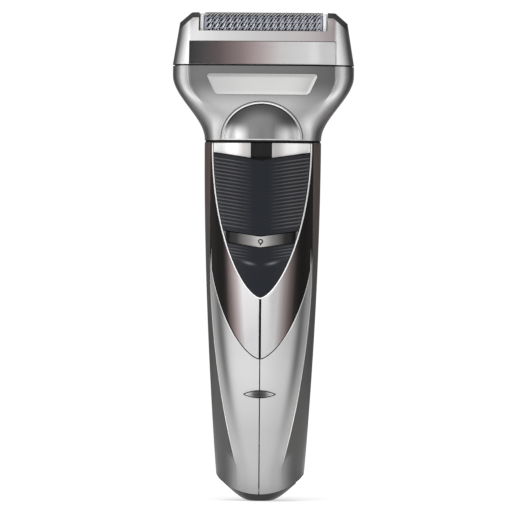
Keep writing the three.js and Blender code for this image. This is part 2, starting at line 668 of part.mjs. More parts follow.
function addBridge() {
  const rodY = 5.2;
  const rodZ = 143.6;
  const plate = box(-17, 17, -3.8, 3.8, 145.4, SPRING.bottom - GAP);
  const pegs = [-13, 13].map((x) => rod(1, 146, 151.6, x, 0, 16));
  const lugs = [-13, 13].map((x) => box(x - 2, x + 2, -7, 7, 141.8, 146));
  const bores = [-rodY, rodY].map((y) => rodAlongX(1.2, -18, 18, y, rodZ));
  add("oscillating_bridge", cut(join(plate, ...pegs, ...lugs), ...bores), whitePlastic);

  const half = PIN.radius + CAM.offset + OSCILLATION + GAP;
  const fork = join(box(-half - 1.5, half + 1.5, -4, 4, 129.4, 135), box(-2, 2, -2, 2, 134, 145.1));
  add("drive_fork", cut(fork, box(-half, half, -5, 5, 129, 133)), whitePlastic);

  add("guide_rod_front", rodAlongX(0.9, -20, 20, -rodY, rodZ), steel);
  add("guide_rod_rear", rodAlongX(0.9, -20, 20, rodY, rodZ), steel);
  for (const [name, side] of SIDES) {
    const ends = side > 0 ? [18.5, 24] : [-24, -18.5];
    const block = box(...ends, -7.5, 7.5, 141, 146);
    const sockets = [-rodY, rodY].map((y) => rodAlongX(1.2, -20.3, 20.3, y, rodZ));
    add("guide_block_" + name, cut(block, ...sockets), blackPlastic);
  }
  add("drive_pin", rod(PIN.radius, PIN.bottom, PIN.top, 0, CAM.offset, 16), steel);
}

addShells();
addVee();
addSlider();
addLowerPad();
addBase();
addChassis();
addPower();
addMotor();
addNeck();
addHeadBase();
addFoilFrame();
addFoil();
addCutter();
addBridge();

export default group;
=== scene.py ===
"""Looks for the body groomer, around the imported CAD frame: shells, trims, rubber pads, foil and materials.

Sizes are in millimetres and turned into metres when a mesh is made. +Z is up and the front faces -Y.
"""

import json
import math

import bmesh
import bpy
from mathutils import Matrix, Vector

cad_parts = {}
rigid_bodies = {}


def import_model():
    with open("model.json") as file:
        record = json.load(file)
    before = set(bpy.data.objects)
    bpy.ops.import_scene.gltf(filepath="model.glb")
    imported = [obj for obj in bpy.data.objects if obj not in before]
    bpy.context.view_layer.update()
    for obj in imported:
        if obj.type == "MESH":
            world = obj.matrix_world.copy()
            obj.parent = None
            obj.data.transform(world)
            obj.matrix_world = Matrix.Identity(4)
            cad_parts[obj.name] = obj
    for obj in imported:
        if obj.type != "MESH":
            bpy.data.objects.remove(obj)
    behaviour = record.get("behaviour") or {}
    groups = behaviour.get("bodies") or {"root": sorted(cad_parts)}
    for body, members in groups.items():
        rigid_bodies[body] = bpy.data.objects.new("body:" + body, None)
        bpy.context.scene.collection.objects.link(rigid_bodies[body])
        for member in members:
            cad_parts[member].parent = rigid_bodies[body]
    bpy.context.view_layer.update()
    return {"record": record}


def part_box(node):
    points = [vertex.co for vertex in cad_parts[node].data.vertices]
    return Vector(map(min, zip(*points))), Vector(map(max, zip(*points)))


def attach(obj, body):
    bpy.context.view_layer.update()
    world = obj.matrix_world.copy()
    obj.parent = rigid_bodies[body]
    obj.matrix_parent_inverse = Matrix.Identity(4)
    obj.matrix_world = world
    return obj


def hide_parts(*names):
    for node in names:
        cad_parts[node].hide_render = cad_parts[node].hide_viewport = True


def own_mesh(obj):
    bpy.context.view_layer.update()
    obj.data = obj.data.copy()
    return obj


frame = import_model()

MM = 0.001


def low(node):
    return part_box(node)[0] / MM


def high(node):
    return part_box(node)[1] / MM


# ---- Driving dimensions ----

DEPTH_RATIO = 0.72
SECTION_POWER = 2.3
WALL = 2
STRIP_ROOT = -1.6
STRIP_COLS = 18
NECK_Z = high("back_shell").z
NECK_WIDTH = high("back_shell").x
RIM_Z = 2.3
RIM_RADIUS = 21
HEEL = 1.2
CORNER_Z = 9.4
CORNER_WIDTH = 14.9
FLARE_POWER = 1.85

CREASE_MAX = 17.4
CREASE_LOW_Z = 11
CREASE_HIGH_Z = 75
CREASE_INSET = 1.3
CREASE_NARROWING = 5.9
CREASE_GAP = 0.12

FASCIA_TIP_Z = low("inner_fascia_right").z
FASCIA_TOP_Z = 88
SLOT = 0.75
SEAM = 0.35
GAP = 0.3

VEE_TIP_Z = 68.7
VEE_WIDTH = 16.4
TRIM_LINE = 0.3
TRIM_HALF = 0.26
FRONT_TOP_Z = high("v_trim").z
EDGE_SLOPE = 0.155
EDGE_SOFT = 0.5
SLIDER_TOP_Z = 114.7
SLIDER_BOTTOM_Z = 89.4
SLIDER_TRAVEL = 3
PAD_RISE = 1.15
RIB_PITCH = 1.22
THUMB_PITCH = 1.05
SMILE_CURVE = 0.03
BAND_BOTTOM_Z = 85.5
BEAD_Z = 87.5
BADGE_Z = 36.1
BADGE_HALF = 5.4
BADGE_RISE = 1.2

FOOT = (3.9, 6.2)
BASE_TOP = (12.4, 8.9)
BASE_TOP_Z = 5.9
BASE_POWER = 2.5
BASE_ROUNDING = 0.72
JACK_HOLE = 3.3
ARC_GAP = 0.22

HEAD_Z = low("head_base_shell").z
HEAD_TOP_Z = high("head_base_shell").z
HEAD_WIDTH = high("head_base_shell").x
HEAD_DEPTH_NECK = 14.1
HEAD_DEPTH = 12.8
HEAD_POWER = 3.4
FLARE_LOW_Z = 122
FLARE_HIGH_Z = 143.5
COLUMN_CURVE = 0.0465
PANEL_SINK = 0.55
DOME_HALF = 13.4
DOME_APEX = 134.3

FRAME_Z = low("foil_frame").z
RAIL_Z = 158.4
SHOULDER_Z = 161.3
SHOULDER_HALF = 28.3
TOWER_HALF = 24.4
TOWER_INNER = 21.7
TOWER_TOP_Z = 164.7
CAP_THICK = 1.7
PANEL_HALF = 24.8
PANEL_TOP_Z = 155
FRAME_POWER = 4.2
FOIL_HALF = 19.9
FOIL_RADIUS = 5.8
FOIL_TOP_Z = 165
FOIL_SKIRT = 3.5
FOIL_SHEET = 0.1
FOIL_MARGIN = 0.25
FOIL_CROWN = 0.8
FOIL_COLUMN = 1.12
FOIL_ROW = 1.85
FOIL_SLOT = (0.45, 0.31)
FLOOR_RADIUS = 0.26


# ---- Outlines ----


def clamp(t):
    return min(1.0, max(0.0, t))


def smooth(t):
    t = clamp(t)
    return t * t * (3 - 2 * t)


def side_width(z):
    t = clamp((z - CORNER_Z) / (NECK_Z - CORNER_Z))
    return CORNER_WIDTH + (NECK_WIDTH - CORNER_WIDTH) * (1 - (1 - t) ** FLARE_POWER)


def handle_depth(z):
    under = clamp((CORNER_Z - z) / (CORNER_Z - RIM_Z))
    return side_width(z) * DEPTH_RATIO - HEEL * under**2


def arc_z(x, radius=RIM_RADIUS):
    """Height of the arc under the handle, straight from front to back."""
    corner = 0.12 * max(0.0, abs(x) - 13) ** 2
    return RIM_Z + RIM_RADIUS - math.sqrt(max(0.0, radius**2 - x * x)) + corner


def section_y(x, w, d, power):
    return d * max(0.0, 1 - min(1.0, abs(x) / w) ** power) ** (1 / power)


def handle_y(x, z, offset=0.0):
    """The handle's front surface."""
    return -section_y(x, side_width(z) + offset, handle_depth(z) + offset, SECTION_POWER)


def crease(z):
    level = max(z, CREASE_LOW_Z)
    s = clamp((level - CREASE_LOW_Z) / (CREASE_HIGH_Z - CREASE_LOW_Z))
    wide = side_width(level) - CREASE_INSET - CREASE_NARROWING * (1 - s) ** 2
    return min(CREASE_MAX, wide)


def crease_gap(z):
    return CREASE_GAP * smooth((z - 8) / 8) + 0.02


def fascia_edge(z):
    u = clamp((z - FASCIA_TIP_Z) / (FASCIA_TOP_Z - FASCIA_TIP_Z))
    return CREASE_MAX * (1 - (1 - u) ** 1.8) ** 0.65


def vee(z):
    u = clamp((z - VEE_TIP_Z) / (NECK_Z - VEE_TIP_Z))
    return VEE_WIDTH * (1 - (1 - u) ** 2) ** 0.64


def vee_path(distance, count=160):
    """The vee's right half moved outwards by a distance, as points of x and z from the tip upwards."""
    points = []
    for i in range(count + 1):
        z = VEE_TIP_Z + (NECK_Z + 1 - VEE_TIP_Z) * (i / count) ** 2.4
        step = 0.002 + 0.004 * (z - VEE_TIP_Z)
        dx, dz = vee(z + step) - vee(z - step), 2 * step
        length = math.hypot(dx, dz)
        points.append((vee(z) + distance * dz / length, z - distance * dx / length))
    points[0] = (0.0, VEE_TIP_Z - distance)
    return points


def lookup(points):
    """x as a function of z along a path that rises."""
    def value(z):
        for (x0, z0), (x1, z1) in zip(points, points[1:]):
            if z0 <= z <= z1:
                return x0 + (x1 - x0) * (z - z0) / max(1e-9, z1 - z0)
        return points[-1][0] if z > points[-1][1] else 0.0

    return value


def head_flare(z):
    return smooth((z - FLARE_LOW_Z) / (FLARE_HIGH_Z - FLARE_LOW_Z))


def head_width(z):
    return NECK_WIDTH + (HEAD_WIDTH - NECK_WIDTH) * head_flare(z)


def head_depth(z):
    return HEAD_DEPTH_NECK + (HEAD_DEPTH - HEAD_DEPTH_NECK) * head_flare(z)


def head_power(z):
    return SECTION_POWER + (HEAD_POWER - SECTION_POWER) * head_flare(z)


def panel_edge(z):
    """Half-width of the flat panel on the head's front, inside its rounded columns."""
    return PANEL_HALF - COLUMN_CURVE * max(0.0, FLARE_HIGH_Z - z) ** 2


def sunk(x, z):
    """How far the panel on the head's front lies behind the columns."""
    return PANEL_SINK * smooth((z - 131) / 8) * smooth((panel_edge(z) - abs(x)) / 0.5 + 0.5)


def head_y(x, z, offset=0.0):
    y = section_y(x, head_width(z) + offset, head_depth(z) + offset, head_power(z))
    return sunk(x, z) - y


def frame_width(z):
    slope = (HEAD_WIDTH - SHOULDER_HALF) / (SHOULDER_Z - FRAME_Z)
    if z <= SHOULDER_Z:
        return HEAD_WIDTH - slope * (z - FRAME_Z)
    share = (z - SHOULDER_Z) / (TOWER_TOP_Z - SHOULDER_Z)
    return SHOULDER_HALF - (SHOULDER_HALF - TOWER_HALF) * share


def frame_depth(z):
    if z <= RAIL_Z:
        return HEAD_DEPTH - 1.8 * (z - FRAME_Z) / (RAIL_Z - FRAME_Z)
    return 11 - 2.4 * (z - RAIL_Z) / (TOWER_TOP_Z - RAIL_Z)


# ---- Materials: every one is built from nodes ----


def rgba(colour):
    return (*colour, 1) if isinstance(colour, tuple) else (colour, colour, colour, 1)


class Nodes:
    """Short ways to add and link a tree's nodes; a plain number given as a colour is a grey."""

    def __init__(self, tree):
        self.nt = tree

    def node(self, kind, **values):
        made = self.nt.nodes.new(kind)
        for key, value in values.items():
            setattr(made, key, value)
        return made

    def link(self, output, target):
        self.nt.links.new(output, target)

    def feed(self, socket, value):
        """Links an output to a socket, or sets the socket to a number or a colour."""
        if isinstance(value, bpy.types.NodeSocket):
            self.link(value, socket)
        else:
            socket.default_value = rgba(value) if socket.type == "RGBA" else value

    def math(self, operation, a, b=0.0, c=0.0):
        made = self.node("ShaderNodeMath", operation=operation)
        for socket, value in zip(made.inputs, (a, b, c)):
            self.feed(socket, value)
        return made.outputs[0]

    def times(self, a, b):
        return self.math("MULTIPLY", a, b)

    def less(self, a, b):
        return self.math("SUBTRACT", a, b)

    def remap(self, value, from_low, from_high, to_low=0.0, to_high=1.0, soft=False):
        made = self.node("ShaderNodeMapRange")
        if soft:
            made.interpolation_type = "SMOOTHSTEP"
        keys = ("Value", "From Min", "From Max", "To Min", "To Max")
        for key, number in zip(keys, (value, from_low, from_high, to_low, to_high)):
            self.feed(made.inputs[key], number)
        return made.outputs["Result"]

    def fade(self, value, start, end, to_low=0.0, to_high=1.0):
        """A soft step between two places in mm."""
        return self.remap(value, start * MM, end * MM, to_low, to_high, soft=True)

    def ramp(self, value, stops):
        made = self.node("ShaderNodeValToRGB")
        elements = made.color_ramp.elements
        while len(elements) < len(stops):
            elements.new(0.5)
        for element, (at, colour) in zip(elements, stops):
            element.position = at
            element.color = rgba(colour)
        self.link(value, made.inputs[0])
        return made.outputs[0]

    def mix(self, factor, a, b, blend="MIX"):
        made = self.node("ShaderNodeMix", data_type="RGBA", blend_type=blend)
        sockets = [made.inputs[0]] + [s for s in made.inputs if s.type == "RGBA"]
        for socket, value in zip(sockets, (factor, a, b)):
            self.feed(socket, value)
        return next(s for s in made.outputs if s.type == "RGBA")


class Surface(Nodes):
    """A principled material with grain, tint and roughness variation in object space."""

    def __init__(self, name, metallic, roughness, specular=0.5):
        self.mat = bpy.data.materials.new(name)
        self.mat.use_nodes = True
        super().__init__(self.mat.node_tree)
        self.shader = self.nt.nodes["Principled BSDF"]
        self.shader.inputs["Metallic"].default_value = metallic
        self.shader.inputs["Specular IOR Level"].default_value = specular
        self.rough = roughness
        self.place = self.node("ShaderNodeTexCoord").outputs["Object"]
        axes = self.node("ShaderNodeSeparateXYZ")
        self.link(self.place, axes.inputs[0])
        self.x, self.y, self.z = axes.outputs

    def noise(self, scale, stretch=(1, 1, 1), detail=2.0):
        mapping = self.node("ShaderNodeMapping")
        mapping.inputs["Scale"].default_value = stretch
        self.link(self.place, mapping.inputs[0])
        made = self.node("ShaderNodeTexNoise")
        made.inputs["Scale"].default_value = scale
        made.inputs["Detail"].default_value = detail
        self.link(mapping.outputs[0], made.inputs["Vector"])
        return made.outputs["Fac"]

    def bell(self, value, centre, width):
        """1 at the centre, falling off smoothly to both sides."""
        away = self.math("DIVIDE", self.less(value, centre), width)
        return self.math("POWER", 2.718, self.times(self.times(away, away), -1.0))

    def across(self):
        return self.math("ABSOLUTE", self.x)

    def side_width(self):
        left = self.remap(self.z, CORNER_Z * MM, NECK_Z * MM, 1.0, 0.0)
        grown = self.less(1.0, self.math("POWER", left, FLARE_POWER))
        return self.math("MULTIPLY_ADD", grown, (NECK_WIDTH - CORNER_WIDTH) * MM, CORNER_WIDTH * MM)

    def crease(self):
        """Half-width of the front face, as crease() gives it."""
        left = self.remap(self.z, CREASE_LOW_Z * MM, CREASE_HIGH_Z * MM, 1.0, 0.0)
        inset = self.math("MULTIPLY_ADD", self.times(left, left), CREASE_NARROWING * MM, CREASE_INSET * MM)
        return self.math("MINIMUM", self.less(self.side_width(), inset), CREASE_MAX * MM)

    def head_edge(self):
        """Distance in from the head's silhouette."""
        grown = self.remap(self.z, FLARE_LOW_Z * MM, FLARE_HIGH_Z * MM, soft=True)
        wide = self.math("MULTIPLY_ADD", grown, (HEAD_WIDTH - NECK_WIDTH) * MM, NECK_WIDTH * MM)
        return self.less(wide, self.across())

    def finish(self, colour, grain, stretch=(1, 1, 1), bump=0.05, depth=0.01, spread=0.05, tint=0.05):
        """Colour with a faint mottle, roughness that varies, and a fine bump of the given depth in mm."""
        fine = self.noise(grain, stretch, 3.0)
        broad = self.noise(90.0, (1, 1, 1), 2.0)
        self.link(
            self.remap(broad, 0.3, 0.7, self.rough - spread, self.rough + spread),
            self.shader.inputs["Roughness"],
        )
        shade = self.ramp(fine, [(0.25, 1 - tint), (0.75, 1.0)])
        self.link(self.mix(1.0, colour, shade, "MULTIPLY"), self.shader.inputs["Base Color"])
        made = self.node("ShaderNodeBump")
        made.inputs["Strength"].default_value = bump
        made.inputs["Distance"].default_value = depth * MM
        self.link(fine, made.inputs["Height"])
        self.link(made.outputs[0], self.shader.inputs["Normal"])
        return self.mat


def plain(name, colour, metallic, roughness, grain=2500.0, specular=0.5, **detail):
    return Surface(name, metallic, roughness, specular).finish(colour, grain, **detail)


def banded(name, metallic, roughness, low_x, high_x, stops, grain, **detail):
    """Colour stops along X in mm; a range that starts at 0 or more runs to both sides."""
    s = Surface(name, metallic, roughness)
    place = s.remap(s.x if low_x < 0 else s.across(), low_x * MM, high_x * MM)
    return s.finish(s.ramp(place, stops), grain, **detail)


SILVER_LOW = 0.37


def shell_material(name, is_cover):
    """Silver covers and dark side rails, which run into each other under the place where the crease ends."""
    s = Surface(name, 0.75, 0.34 if is_cover else 0.38)
    z = s.z
    sideways = s.fade(s.across(), 4.5, 12.0)
    above = s.fade(z, 9.0, 17.0)
    if is_cover:
        dark = s.times(sideways, s.less(1.0, above))
    else:
        behind = s.fade(s.y, -4.0, 2.0)
        dark = s.math("MAXIMUM", s.math("MAXIMUM", sideways, behind), above)
    rail = s.mix(s.fade(z, 55, 118), (0.076, 0.074, 0.073), (0.108, 0.08, 0.071))
    s.link(s.remap(dark, 0, 1, 0.75, 0.35), s.shader.inputs["Metallic"])
    if not is_cover:
        return s.finish(s.mix(dark, SILVER_LOW, rail), 5200.0, bump=0.06, depth=0.006, spread=0.035)
    # Painted shade on the covers: a dark band just inside the crease, stronger upwards; the silver is also
    # darker towards the bottom.
    silver = s.ramp(s.remap(z, 0, 60 * MM), [(0.0, 0.3), (0.1, 0.38), (0.4, 0.4), (0.72, 0.53)])
    inwards = s.less(s.crease(), s.across())
    shade = s.bell(inwards, 2.9 * MM, 1.5 * MM)
    strong = s.times(s.fade(z, 14, 48, 0.15, 0.78), shade)
    shaded = s.mix(strong, silver, 0.1)
    return s.finish(s.mix(dark, shaded, rail), 5200.0, bump=0.06, depth=0.006, spread=0.035)


def fascia_material():
    """Dark mirror plating with a painted reflection: light along the middle and nearly black at the sides."""
    s = Surface("gunmetal_plating", 0.88, 0.16)
    across = s.across()
    z = s.z
    reach = s.remap(z, 48 * MM, 84 * MM, 0.0, 2.4 * MM)
    place = s.remap(s.less(across, reach), 0, 15 * MM)
    colour = s.ramp(place, [
        (0.0, (0.6, 0.6, 0.605)), (0.3, (0.6, 0.585, 0.59)), (0.43, (0.36, 0.31, 0.31)),
        (0.56, (0.16, 0.127, 0.122)), (0.68, (0.04, 0.036, 0.035)), (1.0, (0.028, 0.027, 0.027)),
    ])
    return s.finish(colour, 1400.0, bump=0.02, depth=0.004, spread=0.03, tint=0.03)


def head_material():
    """Silver head with painted shade and highlights: a darker sunk panel, bright rounded columns beside it
    with a darker waist, and dark outer edges.
    """
    s = Surface("head_silver", 0.6, 0.33)
    z = s.z
    below = s.math("MAXIMUM", s.less(FLARE_HIGH_Z * MM, z), 0.0)
    edge = s.math("MULTIPLY_ADD", s.times(below, below), -COLUMN_CURVE / MM, PANEL_HALF * MM)
    inside = s.fade(s.less(edge, s.across()), -0.1, 0.5)
    upper = s.fade(z, 132, 142)
    facing = s.remap(s.times(s.y, -1.0), 2 * MM, 6 * MM)
    dark = s.times(s.times(inside, upper), facing)
    limit = s.math(
        "MINIMUM",
        s.fade(z, 123, 130, 2.9 * MM, 4.8 * MM),
        s.fade(z, 130, 139, 4.8 * MM, 2.5 * MM),
    )
    share = s.times(s.math("DIVIDE", s.head_edge(), limit), 0.4)
    column = s.ramp(share, [
        (0.0, (0.1, 0.095, 0.093)), (0.2, (0.13, 0.125, 0.123)), (0.36, 0.36), (0.5, 0.95), (0.62, 0.95),
        (0.95, 0.44),
    ])
    waist = s.times(s.bell(z, 131.5 * MM, 4.5 * MM), 0.8)
    column = s.mix(s.times(waist, s.remap(share, 0.3, 0.45)), column, 0.36)
    middle = s.mix(s.fade(z, 123, 130), 0.8, 0.4)
    silver = s.mix(s.remap(share, 0.62, 0.95, soft=True), column, middle)
    silver = s.mix(facing, 0.3, silver)
    colour = s.mix(dark, silver, (0.135, 0.135, 0.136))
    return s.finish(colour, 5200.0, bump=0.06, depth=0.006, spread=0.035, tint=0.06)


def frame_material():
    """Silver frame with painted highlights and shade: bright columns, dark outer edges and a rail that shades
    off to the right.
    """
    s = Surface("frame_silver", 0.5, 0.3)
    slope = (HEAD_WIDTH - SHOULDER_HALF) / (SHOULDER_Z - FRAME_Z)
    wide = s.math("MULTIPLY_ADD", s.less(s.z, FRAME_Z * MM), -slope, HEAD_WIDTH * MM)
    edge = s.remap(s.less(wide, s.across()), 0, 8 * MM)
    column = s.ramp(edge, [
        (0.0, 0.09), (0.16, (0.16, 0.155, 0.155)), (0.27, 0.5), (0.4, 0.95), (0.62, 0.97),
        (0.85, (0.62, 0.6, 0.6)),
    ])
    rail = s.ramp(s.remap(s.x, -24 * MM, 24 * MM), [
        (0.0, 0.6), (0.2, (0.5, 0.5, 0.505)), (0.55, (0.42, 0.41, 0.415)), (1.0, (0.36, 0.32, 0.32)),
    ])
    colour = s.mix(s.fade(s.across(), 24.0, 25.2), rail, column)
    facing = s.remap(s.math("ABSOLUTE", s.y), 2 * MM, 6 * MM)
    colour = s.mix(facing, 0.35, colour)
    return s.finish(colour, 5200.0, bump=0.05, depth=0.006, spread=0.035)


def rubber_material(name, top, pitch, low_end, high_end, clear):
    """Blue-black rubber whose rib crests are painted lighter beside the smooth middle as a highlight, with
    two painted highlights on the thumb pad's smile.
    """
    s = Surface(name, 0.0, 0.5, specular=0.16)
    x = s.x
    soft = EDGE_SOFT * MM
    bow = s.less(s.math("SQRT", s.math("MULTIPLY_ADD", x, x, soft * soft)), soft)
    level = s.less(s.z, s.times(bow, EDGE_SLOPE))
    turns = s.math("DIVIDE", s.less(level, top * MM), pitch * MM)
    wave = s.math("MULTIPLY_ADD", s.math("COSINE", s.times(turns, 2 * math.pi)), -0.5, 0.5)
    crest = s.math("POWER", wave, 3.0)
    beside = s.remap(s.across(), (clear - 1.2) * MM, (clear + 7.5) * MM, soft=True)
    ends = s.times(
        s.remap(level, low_end * MM, (low_end + 1) * MM),
        s.remap(level, (high_end - 1) * MM, high_end * MM, 1.0, 0.0),
    )
    # Painted highlight on the rib crests beside the smooth middle.
    lit = s.times(s.times(crest, beside), ends)
    base = s.mix(beside, (0.0085, 0.0108, 0.016), (0.021, 0.022, 0.026))
    smile = s.less(s.z, s.times(s.times(x, x), SMILE_CURVE / MM))
    # Two painted highlights on the smile-shaped lip of the thumb pad.
    painted_smile_highlight = s.times(s.bell(smile, 79.7 * MM, 0.4 * MM), s.bell(s.across(), 3.9 * MM, 1.7 * MM))
    colour = s.mix(painted_smile_highlight, s.mix(lit, base, (0.1, 0.1, 0.108)), (0.17, 0.17, 0.18))
    s.shader.inputs["Sheen Weight"].default_value = 0.05
    s.shader.inputs["Sheen Roughness"].default_value = 0.4
    return s.finish(colour, 7000.0, bump=0.25, depth=0.02, spread=0.05, tint=0.14)


def foil_material():
    """Etched steel foil, bluish grey, with a painted highlight along its crown and a painted shadow where it
    sinks behind the rail.
    """
    s = Surface("etched_foil", 0.85, 0.3)
    # Painted highlight on the crown and painted shadow along the foot.
    crown = s.fade(s.z, 163.7, 164.3)
    clear_of_painted_shadow = s.fade(s.z, 158.5, 159.2)
    colour = s.mix(clear_of_painted_shadow, (0.02, 0.02, 0.024), s.mix(crown, (0.22, 0.23, 0.27), 1.0))
    return s.finish(colour, 1800.0, bump=0.03, spread=0.05, tint=0.06)


def base_material():
    """Dark cap, lighter towards its sides."""
    s = Surface("base_dark", 0.2, 0.4)
    colour = s.mix(s.fade(s.across(), 4, 10), (0.03, 0.029, 0.029), (0.085, 0.084, 0.083))
    return s.finish(colour, 3600.0, bump=0.12, depth=0.012)


def board_material():
    """Green board with pale copper tracks under the resist."""
    s = Surface("circuit_green", 0.0, 0.4)
    tracks = s.node("ShaderNodeTexBrick")
    tracks.inputs["Scale"].default_value = 260.0
    s.link(s.place, tracks.inputs["Vector"])
    colour = s.mix(s.remap(tracks.outputs["Fac"], 0.4, 0.6), (0.02, 0.11, 0.05), (0.06, 0.2, 0.09))
    return s.finish(colour, 1500.0, bump=0.05, depth=0.01)


cover_silver = shell_material("cover_silver", True)
rail_dark = shell_material("rail_dark", False)
head_silver = head_material()
frame_silver = frame_material()
chrome = plain("bright_chrome", (0.88, 0.88, 0.89), 1.0, 0.09, 1200.0, bump=0.015, depth=0.004, spread=0.03)
# Shoulder plates: chrome painted darker near the vee and bright outwards, a painted reflection.
plate_chrome = banded(
    "plate_chrome", 0.3, 0.2, 3.5, 15,
    [(0.0, (0.4, 0.39, 0.39)), (0.22, (0.52, 0.5, 0.5)), (0.42, (0.85, 0.83, 0.81)), (0.7, 1.0)],
    2600.0, stretch=(1, 1, 0.04), bump=0.04,
)
trim_chrome = plain("trim_chrome", 0.98, 0.3, 0.12, 1200.0, bump=0.015, depth=0.004, tint=0.02)
gunmetal = fascia_material()
# The covers' silver painted bright for their edge lips: a painted highlight.
lip_painted_highlight = plain("lip_painted_highlight", 0.85, 0.9, 0.18, 2400.0, bump=0.02, depth=0.004)
# Front and rear panels: plating painted dark on the left and light on the right, a painted reflection.
panel_plate = banded(
    "panel_plating", 0.8, 0.18, -PANEL_HALF, PANEL_HALF,
    [
        (0.0, 0.022), (0.1, (0.04, 0.038, 0.038)), (0.2, (0.068, 0.052, 0.053)), (0.36, (0.155, 0.12, 0.123)),
        (0.5, (0.275, 0.23, 0.235)), (0.62, (0.37, 0.357, 0.357)), (0.8, 0.42), (1.0, 0.7),
    ],
    900.0, stretch=(0.05, 1, 1), bump=0.02, depth=0.004, spread=0.03, tint=0.04,
)
# Inlay silver painted a little darker to the left, painted shade against the front lamp's highlight there.
inlay_silver = banded(
    "inlay_silver", 0.75, 0.24, -18, 18, [(0.0, 0.38), (0.4, (0.46, 0.46, 0.455)), (1.0, (0.5, 0.5, 0.495))],
    5200.0, bump=0.03, depth=0.005, spread=0.02, tint=0.03,
)
# Brushed band with a painted reflection: bright in the middle, dark towards its ends, lighter at the very
# ends.
band_metal = banded(
    "brushed_band", 0.85, 0.3, 0, 12.5,
    [
        (0.0, (0.5, 0.49, 0.48)), (0.3, (0.22, 0.215, 0.21)), (0.65, (0.035, 0.034, 0.034)),
        (0.93, 0.02), (1.0, 0.5),
    ],
    3000.0, stretch=(0.03, 1, 1), bump=0.12, depth=0.008, tint=0.12,
)
# Badge face painted dark in the middle and bright towards its ends, a painted reflection.
badge_metal = banded(
    "badge_metal", 0.9, 0.16, 0, BADGE_HALF, [(0.0, 0.03), (0.35, 0.08), (0.8, 0.47)], 1500.0,
    bump=0.02, depth=0.004,
)
rubber = plain("soft_rubber", (0.012, 0.014, 0.018), 0.0, 0.55, 7000.0, bump=0.25, depth=0.02, tint=0.14)
pad_rubber = rubber_material("pad_rubber", SLIDER_BOTTOM_Z, RIB_PITCH, 90, 114.2, 3.2)
thumb_rubber = rubber_material("thumb_rubber", BAND_BOTTOM_Z - GAP, THUMB_PITCH, 80, 85.2, 3.4)
foil_steel = foil_material()
steel = plain("rolled_steel", (0.5, 0.53, 0.57), 1.0, 0.28, 1600.0, stretch=(1, 1, 0.1), tint=0.12)
# Near-black steel for the cutter blades; also painted shade on the foil's inward faces.
dark_steel_and_painted_shade = plain("dark_steel_and_painted_shade", (0.016, 0.016, 0.02), 0.6, 0.5, 1600.0, 0.2, tint=0.12)
black_plastic = plain("black_plastic", (0.004, 0.004, 0.0045), 0.0, 0.42, 3200.0, 0.2, bump=0.15, depth=0.012)
corner_black = plain("corner_black", (0.03, 0.03, 0.031), 0.2, 0.28, 2200.0, bump=0.06, depth=0.01)
base_dark = base_material()
white_plastic = plain("white_plastic", 0.97, 0.0, 0.35, 2800.0, bump=0.05, depth=0.01)
brass = plain("turned_brass", (0.62, 0.45, 0.18), 1.0, 0.26, 1500.0, stretch=(1, 1, 0.2))
copper = plain(
    "motor_copper", (0.55, 0.24, 0.12), 1.0, 0.34, 1200.0, stretch=(0.2, 0.2, 1.0), bump=0.2, tint=0.25
)
sleeve = plain("cell_sleeve", (0.008, 0.02, 0.034), 0.0, 0.3, 400.0, bump=0.08)
ferrite = plain("ferrite", (0.05, 0.05, 0.055), 0.2, 0.6, 2600.0, bump=0.2, depth=0.03)
lens_clear = plain("light_guide", (0.5, 0.52, 0.55), 0.1, 0.12, 800.0, bump=0.02)
board = board_material()

CAD_FINISHES = {
    "satin_silver": frame_silver,
    "chrome": chrome,
    "gunmetal": gunmetal,
    "dark_shell": base_dark,
    "rubber": rubber,
    "black_plastic": black_plastic,
    "white_plastic": white_plastic,
    "steel": steel,
    "brass": brass,
    "copper": copper,
    "board": board,
    "cell_sleeve": sleeve,
    "magnet": ferrite,
    "clear_lens": lens_clear,
}


def dress_cad_nodes():
    """Gives each CAD node the material of its slot in the record."""
    for part in frame["record"]["subparts"]:
        node = bpy.data.objects[part["node"]]
        for slot in node.material_slots:
            slot.material = CAD_FINISHES[part["material_slot"]]
            if part["node"] == "cutter_blades":
                slot.material = dark_steel_and_painted_shade


# ---- Mesh building ----


def make(name, verts, faces, material, body, replaces=(), slot=None, bevel=0.0, steps=3, sharp=35.0):
    """A closed mesh from points in mm, with rounded edges, riding on a body."""
    mesh = bpy.data.meshes.new(name)
    bm = bmesh.new()
    made = [bm.verts.new([c * MM for c in v]) for v in verts]
    for face in faces:
        corners = [made[i] for i in dict.fromkeys(face)]
        if len(corners) > 2:
            try:
                bm.faces.new(corners)
            except ValueError:
                pass
    bmesh.ops.remove_doubles(bm, verts=bm.verts, dist=0.002 * MM)
    bmesh.ops.dissolve_degenerate(bm, edges=bm.edges, dist=0.001 * MM)
    bmesh.ops.recalc_face_normals(bm, faces=bm.faces)
    for face in bm.faces:
        face.smooth = True
    bm.to_mesh(mesh)
    bm.free()
    return dress(name, mesh, material, body, replaces, slot, bevel, steps, sharp)


def round_edges(piece, width, steps, degrees):
    rounding = piece.modifiers.new("rounding", "BEVEL")
    rounding.width = width * MM
    rounding.segments = steps
    rounding.limit_method = "ANGLE"
    rounding.angle_limit = math.radians(degrees)


def dress(name, mesh, material, body, replaces=(), slot=None, bevel=0.0, steps=3, sharp=35.0):
    piece = bpy.data.objects.new(name, mesh)
    bpy.context.scene.collection.objects.link(piece)
    mesh.materials.append(material)
    if bevel:
        round_edges(piece, bevel, steps, sharp)
    piece.modifiers.new("shading", "WEIGHTED_NORMAL").keep_sharp = True
    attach(piece, body)
    if replaces:
        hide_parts(*replaces)
    return piece


